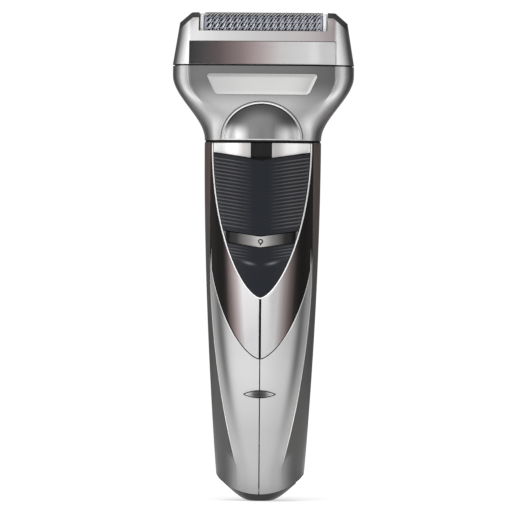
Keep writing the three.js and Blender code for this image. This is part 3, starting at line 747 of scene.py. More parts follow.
def slab(outer, inner, around=False):
    """Vertices and faces of a solid between two grids of points, open or closed round each row."""
    rows, cols = len(outer), len(outer[0])
    verts = [p for row in outer for p in row] + [p for row in inner for p in row]
    back = rows * cols
    faces = []
    span = cols if around else cols - 1
    for r in range(rows - 1):
        for c in range(span):
            a, b = r * cols + c, r * cols + (c + 1) % cols
            d, e = a + cols, b + cols
            faces.append((a, b, e, d))
            faces.append((back + d, back + e, back + b, back + a))
    for r in (0, rows - 1):
        for c in range(span):
            a, b = r * cols + c, r * cols + (c + 1) % cols
            faces.append((a, back + a, back + b, b))
    if not around:
        for c in (0, cols - 1):
            for r in range(rows - 1):
                a, b = r * cols + c, (r + 1) * cols + c
                faces.append((a, b, back + b, back + a))
    return verts, faces


def sheet(rows, cols, point, outer, inner):
    """A solid between two grids of point(v, u, layer), with v and u running from 0 to 1."""
    grids = [
        [[point(r / rows, c / cols, layer) for c in range(cols + 1)] for r in range(rows + 1)]
        for layer in (outer, inner)
    ]
    return slab(*grids)


def hoop(rings):
    """A closed solid of revolution-like rings, the last joined to the first."""
    count, cols = len(rings), len(rings[0])
    verts = [p for ring in rings for p in ring]
    faces = []
    for r in range(count):
        n = (r + 1) % count
        for c in range(cols):
            d = (c + 1) % cols
            faces.append((r * cols + c, r * cols + d, n * cols + d, n * cols + c))
    return verts, faces


def capped(rings):
    """A closed solid of rings with flat ends."""
    verts, faces = hoop(rings)
    cols = len(rings[0])
    faces = faces[: (len(rings) - 1) * cols]
    faces.append(tuple(range(cols)))
    faces.append(tuple(range((len(rings) - 1) * cols, len(rings) * cols)))
    return verts, faces


def superellipse(a, power):
    """A point of the unit superellipse at the angle a."""
    return [math.copysign(abs(v) ** (2 / power), v) for v in (math.cos(a), math.sin(a))]


def circle(radius, y, z, count):
    """A ring of points round an axis along Y."""
    turns = [2 * math.pi * i / count for i in range(count)]
    return [(radius * math.cos(a), y, z + radius * math.sin(a)) for a in turns]


def ring_of(w, d, z, power, count, front_shift=None):
    points = []
    for i in range(count):
        across, along = superellipse(2 * math.pi * i / count, power)
        x, y = w * across, d * along
        if front_shift and y < 0:
            y += front_shift(x, z)
        points.append((x, y, z))
    return points


def tool(name, rings):
    """A closed solid of rings with flat ends, used only to cut with or to be cut."""
    verts, faces = capped(rings)
    mesh = bpy.data.meshes.new(name)
    mesh.from_pydata([[c * MM for c in v] for v in verts], [], faces)
    bm = bmesh.new()
    bm.from_mesh(mesh)
    bmesh.ops.recalc_face_normals(bm, faces=bm.faces)
    bm.to_mesh(mesh)
    bm.free()
    made = bpy.data.objects.new(name, mesh)
    bpy.context.scene.collection.objects.link(made)
    return made


def levels(z0, z1, count, power=1.0):
    return [z0 + (z1 - z0) * (i / count) ** power for i in range(count + 1)]


def meeting(inner, outer, z0, z1):
    """The height where a strip's two edges meet, found by halving."""
    for _ in range(40):
        middle = (z0 + z1) / 2
        if inner(middle) < outer(middle):
            z0 = middle
        else:
            z1 = middle
    return z0


def strip_grid(side, inner, outer, heights, offset):
    grid = []
    for z in heights:
        a = inner(z)
        b = max(outer(z), a + 0.004)
        xs = levels(a, b, STRIP_COLS)
        grid.append([(side * x, handle_y(x, lifted(x, z), offset), lifted(x, z)) for x in xs])
    return grid


def strip_piece(name, side, inner, outer, heights, material, **more):
    """A plate on the handle's front between two outlines, which are functions of the height."""
    grids = [strip_grid(side, inner, outer, heights, offset) for offset in (0, STRIP_ROOT)]
    make(name, *slab(*grids), material, "handle", **more)


SIDES = (("left", -1), ("right", 1))


# ---- Handle shells ----


def lifted(x, z, top=14.0):
    """Squeezes the heights under `top` so that the lowest row lies on the arc."""
    if z >= top:
        return z
    start = arc_z(min(abs(x), 16))
    return start + (z - RIM_Z) * (top - start) / (top - RIM_Z)


def back_shell():
    """The dark shell: from one crease round the back to the other, hollow, with its screw wells."""
    cols = 96
    heights = [RIM_Z, 2.6, 3.1, 3.9, 5, 6.4, 8, 9.6] + levels(11.3, NECK_Z, 60)

    def ring(z, offset):
        share = min(0.97, crease(z) / side_width(z))
        start = -math.acos(share ** (SECTION_POWER / 2))
        points = []
        for i in range(cols + 1):
            a = start + (math.pi - 2 * start) * i / cols
            across, along = superellipse(a, SECTION_POWER)
            level = lifted(across * side_width(z), z)
            x = across * (side_width(level) + offset)
            points.append((x, along * (handle_depth(level) + offset), level))
        return points

    outer = [ring(z, 0) for z in heights]
    inner = [ring(z, -WALL) for z in heights]
    shell = make("back_shell_skin", *slab(outer, inner), rail_dark, "handle", ("back_shell",), "dark_shell")
    cutters = []
    for node in ("case_screw_lower", "case_screw_upper"):
        head = high(node)
        z = (head.z + low(node).z) / 2
        cutters.append(tool("well_" + node, [circle(2.5, head.y + y, z, 40) for y in (-1.2, 4)]))
    carve(shell, cutters)
    smooth_by_angle(shell, 40)
    round_edges(shell, 0.08, 2, 50)
    shell.modifiers.new("shading", "WEIGHTED_NORMAL")
    shell_floor()


def shell_floor():
    """The shell's underside, an arc of its wall thickness with the opening for the socket's boss."""
    inset = 1.7

    def point(v, u, radius):
        x = (side_width(8) - inset) * (2 * u - 1) * 0.995
        z = arc_z(x, radius)
        reach = section_y(x, side_width(z) - inset, handle_depth(z) - inset, SECTION_POWER)
        return x, max(0.05, reach) * (2 * v - 1), z

    solid = sheet(16, 28, point, RIM_RADIUS - 0.02, RIM_RADIUS - 1.8)
    plate = make("back_shell_floor", *solid, rail_dark, "handle", slot="dark_shell")
    carve(plate, [tool("port", [ring_of(5, 5, z, 2, 48) for z in (-1, 12)])])
    smooth_by_angle(plate, 40)
    plate.modifiers.new("shading", "WEIGHTED_NORMAL")


def carve(piece, tools, operation="DIFFERENCE"):
    """Cuts the tools out of a piece for good, and removes the tools."""
    for tool in tools:
        step = piece.modifiers.new("cut", "BOOLEAN")
        step.operation = operation
        step.solver = "EXACT"
        step.object = tool
    graph = bpy.context.evaluated_depsgraph_get()
    graph.update()
    result = bpy.data.meshes.new_from_object(piece.evaluated_get(graph))
    piece.modifiers.clear()
    piece.data = result
    for tool in tools:
        bpy.data.objects.remove(tool)


def smooth_by_angle(piece, degrees):
    for polygon in piece.data.polygons:
        polygon.use_smooth = True
    piece.data.set_sharp_from_angle(angle=math.radians(degrees))


def front_covers():
    def inner(z):
        return SEAM / 2 if z < FASCIA_TIP_Z - GAP else max(SEAM / 2, fascia_edge(z + GAP) + GAP * 0.6)

    def outer(z):
        return crease(z) - crease_gap(z)

    end = meeting(inner, outer, 60, 95)
    tip = FASCIA_TIP_Z - GAP
    heights = [RIM_Z, 2.5, 2.8, 3.3, 4.1, 5.2, 6.6, 8.2] + levels(10, tip, 24) + levels(tip, end, 60, 1.7)[1:]
    for name, side in SIDES:
        strip_piece(
            "cover_skin_" + name, side, inner, outer, heights, cover_silver,
            replaces=("front_cover_" + name,), slot="satin_silver", bevel=0.1,
        )


def inner_fascia():
    beside_trim = lookup(vee_path(TRIM_LINE + TRIM_HALF + 0.08))

    def inner(z):
        return max(SLOT / 2, beside_trim(z))

    def outer(z):
        return min(fascia_edge(z), crease(z) - GAP * 0.5)

    end = meeting(inner, outer, 90, NECK_Z)
    tip = VEE_TIP_Z - TRIM_LINE - TRIM_HALF - 0.08
    heights = levels(FASCIA_TIP_Z + 0.02, tip, 44, 1.8) + levels(tip, end, 70, 2.2)[1:]
    for name, side in SIDES:
        strip_piece(
            "fascia_skin_" + name, side, inner, outer, heights, gunmetal,
            replaces=("inner_fascia_" + name,), slot="gunmetal", bevel=0.14,
        )


def edge_trims():
    """The chrome vee, and the thin lips of the covers round the fascia and along the crease, painted brighter
    than the covers as a highlight; all swept along their outlines.
    """
    right = [(x, min(z, FRONT_TOP_Z)) for x, z in vee_path(TRIM_LINE, 120) if z < FRONT_TOP_Z + 0.4]
    path = [(-x, z) for x, z in reversed(right)] + right[1:]
    bead("vee_trim", path, TRIM_HALF, 0.38, 0.8, trim_chrome, "handle", ("v_trim",), "chrome")
    lip = dict(arc=5, taper=12)
    for name, side in SIDES:
        line = [(side * (crease(z) - 0.3), z) for z in levels(13, 83, 60)]
        bead("crease_lip_" + name, line, 0.13, 0.1, 0.3, lip_painted_highlight, "handle", (), "satin_silver", **lip)
        edge = [(side * min(fascia_edge(z + GAP) + 0.3, crease(z) - 0.6), z) for z in levels(52, 85, 50)]
        bead("cover_lip_" + name, edge, 0.16, 0.12, 0.3, lip_painted_highlight, "handle", (), "satin_silver", **lip)


def bead(name, path, half, rise, root, material, body, replaces, slot, surface=handle_y, arc=8, taper=0):
    """A rounded strip along points of x and z on the front surface; its ends may run out over some points."""
    rings = []
    for i, (x, z) in enumerate(path):
        before, after = path[max(0, i - 1)], path[min(len(path) - 1, i + 1)]
        dx, dz = after[0] - before[0], after[1] - before[1]
        length = math.hypot(dx, dz) or 1.0
        nx, nz = dz / length, -dx / length
        share = 0.15 + 0.85 * smooth(min(i, len(path) - 1 - i) / taper) if taper else 1.0
        ring = []
        for k in range(arc + 1):
            a = math.pi * k / arc
            across = share * half * math.cos(a)
            px, pz = x + nx * across, z + nz * across
            ring.append((px, surface(px, pz, 0) - share * rise * math.sin(a) ** 0.8, pz))
        for across in (-share * half, share * half):
            px, pz = x + nx * across, z + nz * across
            ring.append((px, surface(px, pz, 0) + root, pz))
        rings.append(ring)
    return make(name, *capped(rings), material, body, replaces, slot, sharp=60)


def gaskets():
    """Dark seals that fill the seams between the handle, the head and the foil unit."""
    for name, body, w, d, power, inset, bottom, top in (
        ("neck_gasket", "handle", NECK_WIDTH, handle_depth(NECK_Z), SECTION_POWER, 0.4, NECK_Z, HEAD_Z),
        ("head_gasket", "head", HEAD_WIDTH, HEAD_DEPTH, HEAD_POWER, 0.85, HEAD_TOP_Z, FRAME_Z),
    ):
        low_z, high_z = bottom - 0.1, top - 0.03
        profile = (
            (inset, low_z), (inset - 0.15, (low_z + high_z) / 2), (inset, high_z),
            (inset + 1, high_z), (inset + 1, low_z),
        )
        rings = [ring_of(w - step, d - step, z, power, 160) for step, z in profile]
        make(name, *hoop(rings), black_plastic, body, slot="black_plastic")


def shoulder_plates():
    inner_x, reach = 3.55, vee(FRONT_TOP_Z) - GAP * 0.5
    for name, side in SIDES:
        def point(v, u, offset):
            x = inner_x + (reach - inner_x) * u
            bottom = 115.0 + EDGE_SLOPE * x
            z = bottom + (FRONT_TOP_Z - bottom) * v
            return side * x, handle_y(x, z, offset), z

        make(
            "shoulder_skin_" + name, *sheet(6, 14, point, 0.0, -0.6), plate_chrome, "handle",
            ("shoulder_plate_" + name,), "chrome", bevel=0.16,
        )


# ---- Pads in the vee ----


def soft_abs(x):
    return math.sqrt(x * x + EDGE_SOFT**2) - EDGE_SOFT


def vee_piece(name, bottom, top, rows, cols, rise, root, *dressing, slope_low=EDGE_SLOPE, **more):
    """A piece across the vee; rise is a function of x, z and the row's own middle height."""
    def point(v, u, offset):
        z = middle = bottom + (top - bottom) * v
        slope = slope_low + (EDGE_SLOPE - slope_low) * min(1.0, v * 1.2)
        for _ in range(8):
            x = (2 * u - 1) * max(0.02, vee(z) - GAP * 0.5)
            z = middle + slope * soft_abs(x)
        return x, handle_y(x, z, offset(x, z, middle)), z

    make(name, *sheet(rows, cols, point, rise, lambda x, z, m: root), *dressing, **more)


def slider_rise(x, z, middle):
    """Pad height over the handle: a plain border, ribs at the sides that fade in the middle."""
    border = vee(z) - GAP * 0.5 - abs(x)
    frame_fade = smooth((border - 0.7) / 0.5)
    ends = smooth((SLIDER_TOP_Z - 0.7 - middle) / 0.4) * smooth((middle - SLIDER_BOTTOM_Z - 0.6) / 0.4)
    centre = 0.12 + 0.88 * smooth((abs(x) - 3.6) / 3.2)
    phase = (middle - SLIDER_BOTTOM_Z) / RIB_PITCH
    wave = 0.5 - 0.5 * math.cos(2 * math.pi * phase)
    rib = 0.4 * (wave**2.2 - 0.4)
    hollow = -0.25 * math.exp(-((x / 5.0) ** 2)) * ends
    return PAD_RISE + rib * frame_fade * ends * centre + hollow - 0.25 * (1 - smooth(border / 0.5))


def power_slider():
    rows = round((SLIDER_TOP_Z - SLIDER_BOTTOM_Z) / RIB_PITCH * 10)
    vee_piece(
        "slider_pad", SLIDER_BOTTOM_Z, SLIDER_TOP_Z, rows, 72, slider_rise, GAP,
        pad_rubber, "slider", ("power_slider",), "rubber", bevel=0.12, sharp=60,
    )
    vee_piece(
        "slider_skirt", SLIDER_BOTTOM_Z, SLIDER_TOP_Z - SLIDER_TRAVEL - GAP, 12, 40,
        lambda x, z, m: GAP + 0.05, -0.6, black_plastic, "slider", slot="rubber",
    )
    outline = [(-2.6, -13.6), (2.6, -13.6), (2.6, -12.05), (-2.6, -12.05)]
    rings = [[(x, y, z) for x, y in outline] for z in levels(106.5, 112.0, 3)]
    make("slider_stem", *capped(rings), black_plastic, "slider", slot="rubber", bevel=0.2)


def thumb_rise(x, z, middle):
    border = vee(z) - GAP * 0.5 - abs(x)
    top = BAND_BOTTOM_Z - GAP
    ribs = 0.3 * (0.5 - 0.5 * math.cos(2 * math.pi * (middle - top) / THUMB_PITCH) - 0.4)
    fade = smooth((middle - 79.5) / 1.5) * smooth((abs(x) - 3.4) / 2.6) * smooth((border - 0.6) / 0.5)
    dish = -0.5 * math.exp(-((x / 6.2) ** 2) - ((z - 82.2) / 2.0) ** 2)
    smile = 79.3 + SMILE_CURVE * x * x
    lip = 0.62 * math.exp(-(((z - smile) / 0.6) ** 2) - (x / 6.5) ** 4)
    edge = 0.35 * (1 - smooth(border / 0.7))
    return 0.85 + ribs * fade + dish + lip - edge


def lower_pads():
    vee_piece(
        "band_skin", BAND_BOTTOM_Z, SLIDER_BOTTOM_Z - GAP * 0.7, 8, 48,
        lambda x, z, m: 0.55 - 0.3 * smooth((abs(x) - 10.5) / 1.5), -0.6,
        band_metal, "handle", ("metal_band",), "satin_silver", bevel=0.15, sharp=60,
    )
    vee_piece(
        "thumb_pad_skin", VEE_TIP_Z + 0.1, BAND_BOTTOM_Z - GAP * 0.7, 90, 60, thumb_rise, -0.6,
        thumb_rubber, "handle", ("thumb_rest_pad",), "rubber", slope_low=0.0, bevel=0.12, sharp=60,
    )


def indicator():
    """Small ring and domed light guide on the band, with a pointer under it."""
    y0 = handle_y(0, BEAD_Z, 0.55)

    def ring(radius, y):
        return circle(radius, y0 + y, BEAD_Z, 32)

    turns = [2 * math.pi * k / 12 for k in range(12)]
    bezel = [ring(0.7 + 0.17 * math.cos(a), -0.1 - 0.25 * math.sin(a)) for a in turns]
    make("indicator_bezel", *hoop(bezel), black_plastic, "handle", ("indicator_ring",), "black_plastic")
    quarter = [ring(0.5 * math.cos(a), -0.35 * math.sin(a)) for a in (math.pi * k / 16 for k in range(8))]
    cap = [ring(0.5, 0.6)] + quarter + [ring(0.03, -0.35)]
    make("indicator_dome", *capped(cap), lens_clear, "handle", ("indicator_lens",), "clear_lens")
    arrow = [(-0.36, 86.5), (0.36, 86.5), (0.0, 85.65)]
    rings = [[(x, handle_y(x, z, 0.55) + push, z + 0.25) for x, z in arrow] for push in (-0.06, 0.3)]
    make("indicator_pointer", *capped(rings), black_plastic, "handle", slot="black_plastic")


def lens_badge():
    """Blank lens-shaped badge: dark rim, bright dished face."""
    def half_rise(x):
        return BADGE_RISE * (1 - (x / BADGE_HALF) ** 2)

    def point(v, u, base):
        x, share = BADGE_HALF * (2 * u - 1), 2 * v - 1
        z = BADGE_Z + max(0.01, half_rise(x)) * share
        dish = 0.12 * (1 - share**2) if base > 0 else 0.0
        return x, handle_y(x, z, base - dish), z

    solid = sheet(8, 40, point, 0.25, -0.6)
    make("badge_face", *solid, badge_metal, "handle", ("lens_badge",), "chrome")
    for name, side in (("upper", 1), ("lower", -1)):
        path = [(x, BADGE_Z + side * half_rise(x)) for x in levels(-BADGE_HALF, BADGE_HALF, 64)]
        bead("badge_rim_" + name, path, 0.16, 0.4, 0.5, black_plastic, "handle", (), "black_plastic")


def base_cap():
    def oval(w, d, z=0, power=BASE_POWER):
        return ring_of(w, d, z, power, 96)

    def under_arc(ring):
        return [(x, y, arc_z(x) - ARC_GAP) for x, y, z in ring]

    rings = [oval(JACK_HOLE, JACK_HOLE, 0.25, 2), oval(JACK_HOLE + 0.25, JACK_HOLE + 0.25, 0, 2), oval(*FOOT)]
    for t in levels(0.0, 1, 18, 1.4)[1:]:
        grow = t**BASE_ROUNDING
        w, d = (foot + (top - foot) * grow for foot, top in zip(FOOT, BASE_TOP))
        rings.append([(x, y, min(BASE_TOP_Z * t, z)) for x, y, z in under_arc(oval(w, d))])
    rings += [under_arc(oval(w, d)) for w, d in ((11.4, 7.9), (9, 6.8), (7, 6), (5.6, 5.2))]
    rings += [under_arc(oval(4.7, 4.7, 0, 2)), oval(4.7, 4.7, 9, 2), oval(JACK_HOLE, JACK_HOLE, 9, 2)]
    make(
        "base_cap_skin", *hoop(rings), base_dark, "handle", ("base_cap",), "dark_shell",
        bevel=0.15, sharp=50,
    )


# ---- Shaver head ----


def ring_of(w, d, z, power, count, front_shift=None):
    points = []
    for i in range(count):
        a = 2 * math.pi * i / count
        x = w * math.copysign(abs(math.cos(a)) ** (2 / power), math.cos(a))
        y = d * math.copysign(abs(math.sin(a)) ** (2 / power), math.sin(a))
        if front_shift and y < 0:
            y += front_shift(x, z)
        points.append((x, y, z))
    return points


def head_shell():
    count = 360
    outer = [
        ring_of(head_width(z), head_depth(z), z, head_power(z), count, sunk)
        for z in [HEAD_Z, HEAD_Z + 0.15] + levels(FLARE_LOW_Z + 0.4, HEAD_TOP_Z, 44)
    ]
    inner = [
        ring_of(head_width(z) - WALL, head_depth(z) - WALL, z, head_power(z), count)
        for z in levels(HEAD_TOP_Z, 129, 16)
    ]
    floor = [ring_of(8, 8, 129, 2, count), ring_of(8, 8, 127.5, 2, count)]
    spigot = [ring_of(11.4, 11.4, 127.5, 2, count), ring_of(11.4, 11.4, HEAD_Z, 2, count)]
    rings = outer + inner + floor + spigot
    make(
        "head_skin", *hoop(rings), head_silver, "head", ("head_base_shell",), "satin_silver",
        bevel=0.2, sharp=50,
    )


def dome():
    """Bulge over the neck with a bright ring round it and a hollow between them."""
    def outline(a, share):
        x = DOME_HALF * share * math.cos(a)
        z = HEAD_Z + 0.35 + (DOME_APEX - HEAD_Z - 0.35) * share * math.sin(a)
        return x, z

    def rise(share):
        if share > 0.93:
            return 0.12 + 0.62 * math.sin(math.pi * clamp((share - 0.93) / 0.07)) ** 0.6
        bulge = 1.15 * (1 - (share / 0.82) ** 2.4) if share < 0.82 else 0.0
        return 0.12 + max(0.0, bulge)

    shares = levels(0.0, 0.82, 18) + [0.86, 0.9, 0.93, 0.94, 0.95, 0.965, 0.98, 0.99, 1.0]
    def point(v, u, depth):
        share = shares[round(v * (len(shares) - 1))]
        x, z = outline(math.pi * u, share)
        return x, head_y(x, z, rise(share) if depth is None else depth), z

    # Painted shade and highlight on the bulge: a dark crescent under the ring at the top, grey up the middle
    # and bright lower sides.
    s = Surface("dome_silver", 0.75, 0.3)
    x = s.math("DIVIDE", s.x, DOME_HALF * MM)
    z = s.math("DIVIDE", s.less(s.z, HEAD_Z * MM), (DOME_APEX - HEAD_Z) * MM)
    radial = s.math("SQRT", s.math("ADD", s.times(x, x), s.times(z, z)))
    across = s.math("ABSOLUTE", x)
    colour = s.ramp(across, [(0.0, 0.15), (0.3, 0.2), (0.62, 0.9), (0.9, 0.75)])
    under_ring = s.remap(radial, 0.5, 0.9, soft=True)
    upper = s.remap(z, 0.22, 0.6, soft=True)
    grey = s.mix(s.remap(z, 0.1, 0.5, soft=True), colour, 0.155)
    shaded = s.mix(s.times(under_ring, upper), grey, 0.05)
    metal = s.finish(shaded, 5200.0, bump=0.05, depth=0.006)
    solid = sheet(len(shares) - 1, 72, point, None, -0.5)
    bulge = make("dome_bulge", *solid, metal, "head", ("dome_trim",), "chrome")
    smooth_by_angle(bulge, 60)
    path = [outline(math.pi * i / 96, 0.975) for i in range(97)]
    bead("dome_ring", path, 0.3, 0.75, 0.3, trim_chrome, "head", (), "chrome", surface=head_y)
    # A thin black bead just outside the ring, a painted shadow line between the dome and the head.
    gap_shadow_path = [outline(math.pi * i / 96, 1.03) for i in range(97)]
    bead("dome_gap_painted_shadow", gap_shadow_path, 0.14, 0.05, 0.3, black_plastic, "head", (), "chrome", surface=head_y, arc=4)


def inlay():
    """Trapezoid plate with a fine raised rim."""
    box_low, box_high = low("trapezoid_inlay"), high("trapezoid_inlay")
    bottom, top = box_low.z - 0.4, box_high.z - 0.4
    wide, narrow = box_high.x, box_high.x - 3.2

    def half(z):
        return narrow + (wide - narrow) * (z - bottom) / (top - bottom)

    def point(v, u, is_front):
        s = 2 * u - 1
        round_off = 0.9 * max(0.0, (abs(s) - 0.94) / 0.06) ** 2
        z = bottom + (top - bottom) * v + round_off * (1 - 2 * v)
        x = s * half(z)
        edge = min(half(z) - abs(x), z - bottom, top - z)
        rim = 0.22 * (1 - smooth((edge - 0.3) / 0.35))
        return x, head_y(x, z) + (-0.28 - rim if is_front else 0.5), z

    solid = sheet(14, 60, point, True, False)
    make("inlay_plate", *solid, inlay_silver, "head", ("trapezoid_inlay",), "chrome", bevel=0.1, sharp=60)


def frame_body(name, offset=0.0, z0=FRAME_Z, z1=TOWER_TOP_Z):
    heights = [z0, z0 + 0.4] + [z for z in (152.5, RAIL_Z, SHOULDER_Z) if z < z1] + [z1]
    sizes = [(frame_width(z) + offset, frame_depth(z) + offset, z) for z in heights]
    return tool(name, [ring_of(*size, FRAME_POWER, 160) for size in sizes])


def block(name, x0, x1, y0, y1, z0, z1):
    return tool(name, [[(x0, y0, z), (x1, y0, z), (x1, y1, z), (x0, y1, z)] for z in (z0, z1)])


def cap_tool(name, side, gap):
    """Everything above a line parallel to the tower's top and chamfer."""
    slope = (SHOULDER_HALF - TOWER_HALF) / (TOWER_TOP_Z - SHOULDER_Z)
    base = TOWER_TOP_Z - CAP_THICK - gap
    bend, far = TOWER_HALF - 0.7, SHOULDER_HALF + 3
    inner = TOWER_INNER - 1 if gap else TOWER_INNER
    outline = [
        (inner, base),
        (bend, base),
        (far, base - (far - bend) / slope),
        (far, TOWER_TOP_Z + 1),
        (inner, TOWER_TOP_Z + 1),
    ]
    return tool(name, [[(side * x, y, z) for x, z in outline] for y in (-30, 30)])


def finish_carved(piece, name, material, body, replaces, slot, bevel):
    """Turns a carved tool into a piece of the model."""
    mesh = piece.data
    bpy.data.objects.remove(piece)
    mesh.name = name
    for polygon in mesh.polygons:
        polygon.use_smooth = True
    mesh.materials.clear()
    dress(name, mesh, material, body, replaces, slot, bevel, sharp=30.0)


def foil_frame():
    body = frame_body("frame_blank")
    pockets = []
    for y0, y1 in ((-30, -1), (1, 30)):
        pocket = frame_body("pocket", -0.8, FRAME_Z - 1, TOWER_TOP_Z + 1)
        window = block("window", -PANEL_HALF, PANEL_HALF, y0, y1, FRAME_Z - 2, PANEL_TOP_Z)
        carve(window, [pocket])
        pockets.append(window)
    tools = [
        frame_body("hollow", -2.4, FRAME_Z - 1, 156.5),
        block("gate", -TOWER_INNER, TOWER_INNER, -30, 30, RAIL_Z, TOWER_TOP_Z + 1),
        block("slot", -TOWER_INNER, TOWER_INNER, -7.4, 7.4, 150, TOWER_TOP_Z + 1),
        cap_tool("cap_left_room", -1, 0.12),
        cap_tool("cap_right_room", 1, 0.12),
        *pockets,
    ]
    carve(body, tools)
    finish_carved(body, "frame_skin", frame_silver, "foil_unit", ("foil_frame",), "satin_silver", 0.3)
    for name, side in SIDES:
        cap = frame_body("cap_blank")
        carve(cap, [cap_tool("cap_tool", side, 0.0)], "INTERSECT")
        finish_carved(
            cap, "corner_cap_skin_" + name, corner_black, "foil_unit",
            ("corner_cap_" + name,), "black_plastic", 0.3,
        )


def panels():
    for name, side in (("front", 1), ("rear", -1)):
        def point(v, u, offset):
            z = FRAME_Z + 0.1 + (PANEL_TOP_Z - 0.12 - FRAME_Z - 0.1) * v
            x = (PANEL_HALF - 0.12) * (2 * u - 1)
            y = section_y(x, frame_width(z) + offset, frame_depth(z) + offset, FRAME_POWER)
            return x, -side * y, z

        make(
            name + "_panel_skin", *sheet(8, 60, point, -0.3, -0.75), panel_plate, "foil_unit",
            (name + "_panel",), "gunmetal", bevel=0.12,
        )


# ---- Foil ----


def foil_point(s, x, radius):
    """A point at arc length s from the foil's crown; past the arch the sheet runs straight down."""
    quarter = FOIL_RADIUS * math.pi / 2
    turn = max(-quarter, min(quarter, s))
    a = turn / FOIL_RADIUS
    drop = abs(s) - quarter if abs(s) > quarter else 0.0
    centre = FOIL_TOP_Z - FOIL_RADIUS
    return (x, radius * math.sin(a), centre + radius * math.cos(a) - drop)


def foil():
    """Perforated steel arch: rows of slots that lean one pitch over the height of a row."""
    reach = FOIL_RADIUS * math.pi / 2 + FOIL_SKIRT
    start = FOIL_MARGIN - FOIL_HALF
    columns = round(-2 * start / FOIL_COLUMN)
    step = -2 * start / columns
    rows = round((reach - FOIL_CROWN) / FOIL_ROW)
    lift = (reach - FOIL_CROWN) / rows
    corners = ((-1, -1), (-1, 1), (0, 1), (1, 1), (1, -1), (0, -1))
    verts, faces = [], []

    def point(s, x, layer):
        verts.append(foil_point(s, x, FOIL_RADIUS - FOIL_SHEET * layer))
        return len(verts) - 1

    def both(outline):
        return [[point(s, x, layer) for s, x in outline] for layer in (0, 1)]

    def skin(outline):
        outer, inner = both(outline)
        faces.extend((tuple(outer), tuple(reversed(inner))))

    def edge(p, q):
        faces.append((point(*p, 0), point(*q, 0), point(*q, 1), point(*p, 1)))

    def cell(near, c, side):
        """One slot; down and right count rows and columns from the cell's middle."""
        def ring(tall, wide):
            outline = []
            for down, right in corners:
                x = start + (c + 1 + wide * right - tall * down) * step
                outline.append((near + side * (0.5 + tall * down) * lift, x))
            return both(outline)

        outer, inner = ring(0.5, 0.5), ring(*FOIL_SLOT)
        for k in range(6):
            n = (k + 1) % 6
            faces.append((outer[0][k], outer[0][n], inner[0][n], inner[0][k]))
            faces.append((outer[1][n], outer[1][k], inner[1][k], inner[1][n]))
            faces.append((inner[0][k], inner[0][n], inner[1][n], inner[1][k]))

    for side in (-1, 1):
        for r in range(rows):
            near = side * (FOIL_CROWN + r * lift)
            s0, sm, s1 = near, near + side * lift / 2, near + side * lift
            x0, x1 = start, start + columns * step
            skin([(s0, x0), (s0, x0 + step), (sm, x0 + step / 2), (s1, x0), (sm, x0)])
            skin([(s0, x1), (sm, x1), (s1, x1), (s1, x1 - step), (sm, x1 - step / 2)])
            for c in range(columns - 1):
                cell(near, c, side)

    def plate(s_values, x_values):
        for s0, s1 in zip(s_values, s_values[1:]):
            for x0, x1 in zip(x_values, x_values[1:]):
                skin([(s0, x0), (s0, x1), (s1, x1), (s1, x0)])

    inner_x = [start + c * step for c in range(columns + 1)]
    below = [FOIL_CROWN + k * lift / 2 for k in range(2 * rows + 1)]
    all_s = [-s for s in reversed(below)] + [0.0] + below
    all_x = [-FOIL_HALF] + inner_x + [FOIL_HALF]
    plate([-FOIL_CROWN, 0.0, FOIL_CROWN], inner_x)
    plate(all_s, all_x[:2])
    plate(all_s, all_x[-2:])
    for s in (all_s[0], all_s[-1]):
        for x0, x1 in zip(all_x, all_x[1:]):
            edge((s, x0), (s, x1))
    for x in (-FOIL_HALF, FOIL_HALF):
        for s0, s1 in zip(all_s, all_s[1:]):
            edge((s0, x), (s1, x))
    piece = make("foil_mesh", verts, faces, foil_steel, "foil_unit", ("shaver_foil",), "steel")
    piece.modifiers.clear()
    # The foil's inward faces take the dark steel: painted shade inside the arch.
    piece.data.materials.append(dark_steel_and_painted_shade)
    axis = (FOIL_TOP_Z - FOIL_RADIUS) * MM
    for polygon in piece.data.polygons:
        outwards = Vector((0, polygon.center.y, max(0.0, polygon.center.z - axis)))
        polygon.material_index = int(polygon.normal.dot(outwards.normalized()) < 0.5)
    smooth_by_angle(piece, 30)


def foil_ends():
    """White end caps of the foil: arches with rounded rims."""
    count = 40
    bottom = low("foil_end_cap_left").z
    radius = FOIL_RADIUS + 0.1
    centre = TOWER_TOP_Z - radius
    turns = [math.pi * i / count for i in range(count + 1)]
    arch = [(-radius * math.cos(a), centre + radius * math.sin(a)) for a in turns]
    outline = [(-radius, bottom), *arch, (radius, bottom)]
    for name, side in SIDES:
        node = "foil_end_cap_" + name
        rings = [[(x, y, z) for y, z in outline] for x in (low(node).x, high(node).x)]
        make(
            "foil_end_skin_" + name, *capped(rings), white_plastic, "foil_unit", (node,), "white_plastic",
            bevel=0.3,
        )


def float_springs():
    """Coil springs between the bridge and the cutter, riding on the cutter."""
    turns, sides, per_turn = 4, 8, 24
    for name, side in SIDES:
        node = "float_spring_" + name
        bottom, top = low(node), high(node)
        centre_x = (bottom.x + top.x) / 2
        wire = 0.25
        radius = (top.y - bottom.y) / 2 - wire
        z0, z1 = bottom.z + wire, top.z - wire
        rings = []
        for i in range(turns * per_turn + 1):
            a = 2 * math.pi * i / per_turn
            z = z0 + (z1 - z0) * i / (turns * per_turn)
            ring = []
            for k in range(sides):
                b = 2 * math.pi * k / sides
                out = radius + wire * math.cos(b)
                ring.append((centre_x + out * math.cos(a), out * math.sin(a), z + wire * math.sin(b)))
            rings.append(ring)
        spring = make("spring_coil_" + name, *capped(rings), steel, "cutter", (node,), "steel")
        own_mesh(spring)


# ---- Stage ----


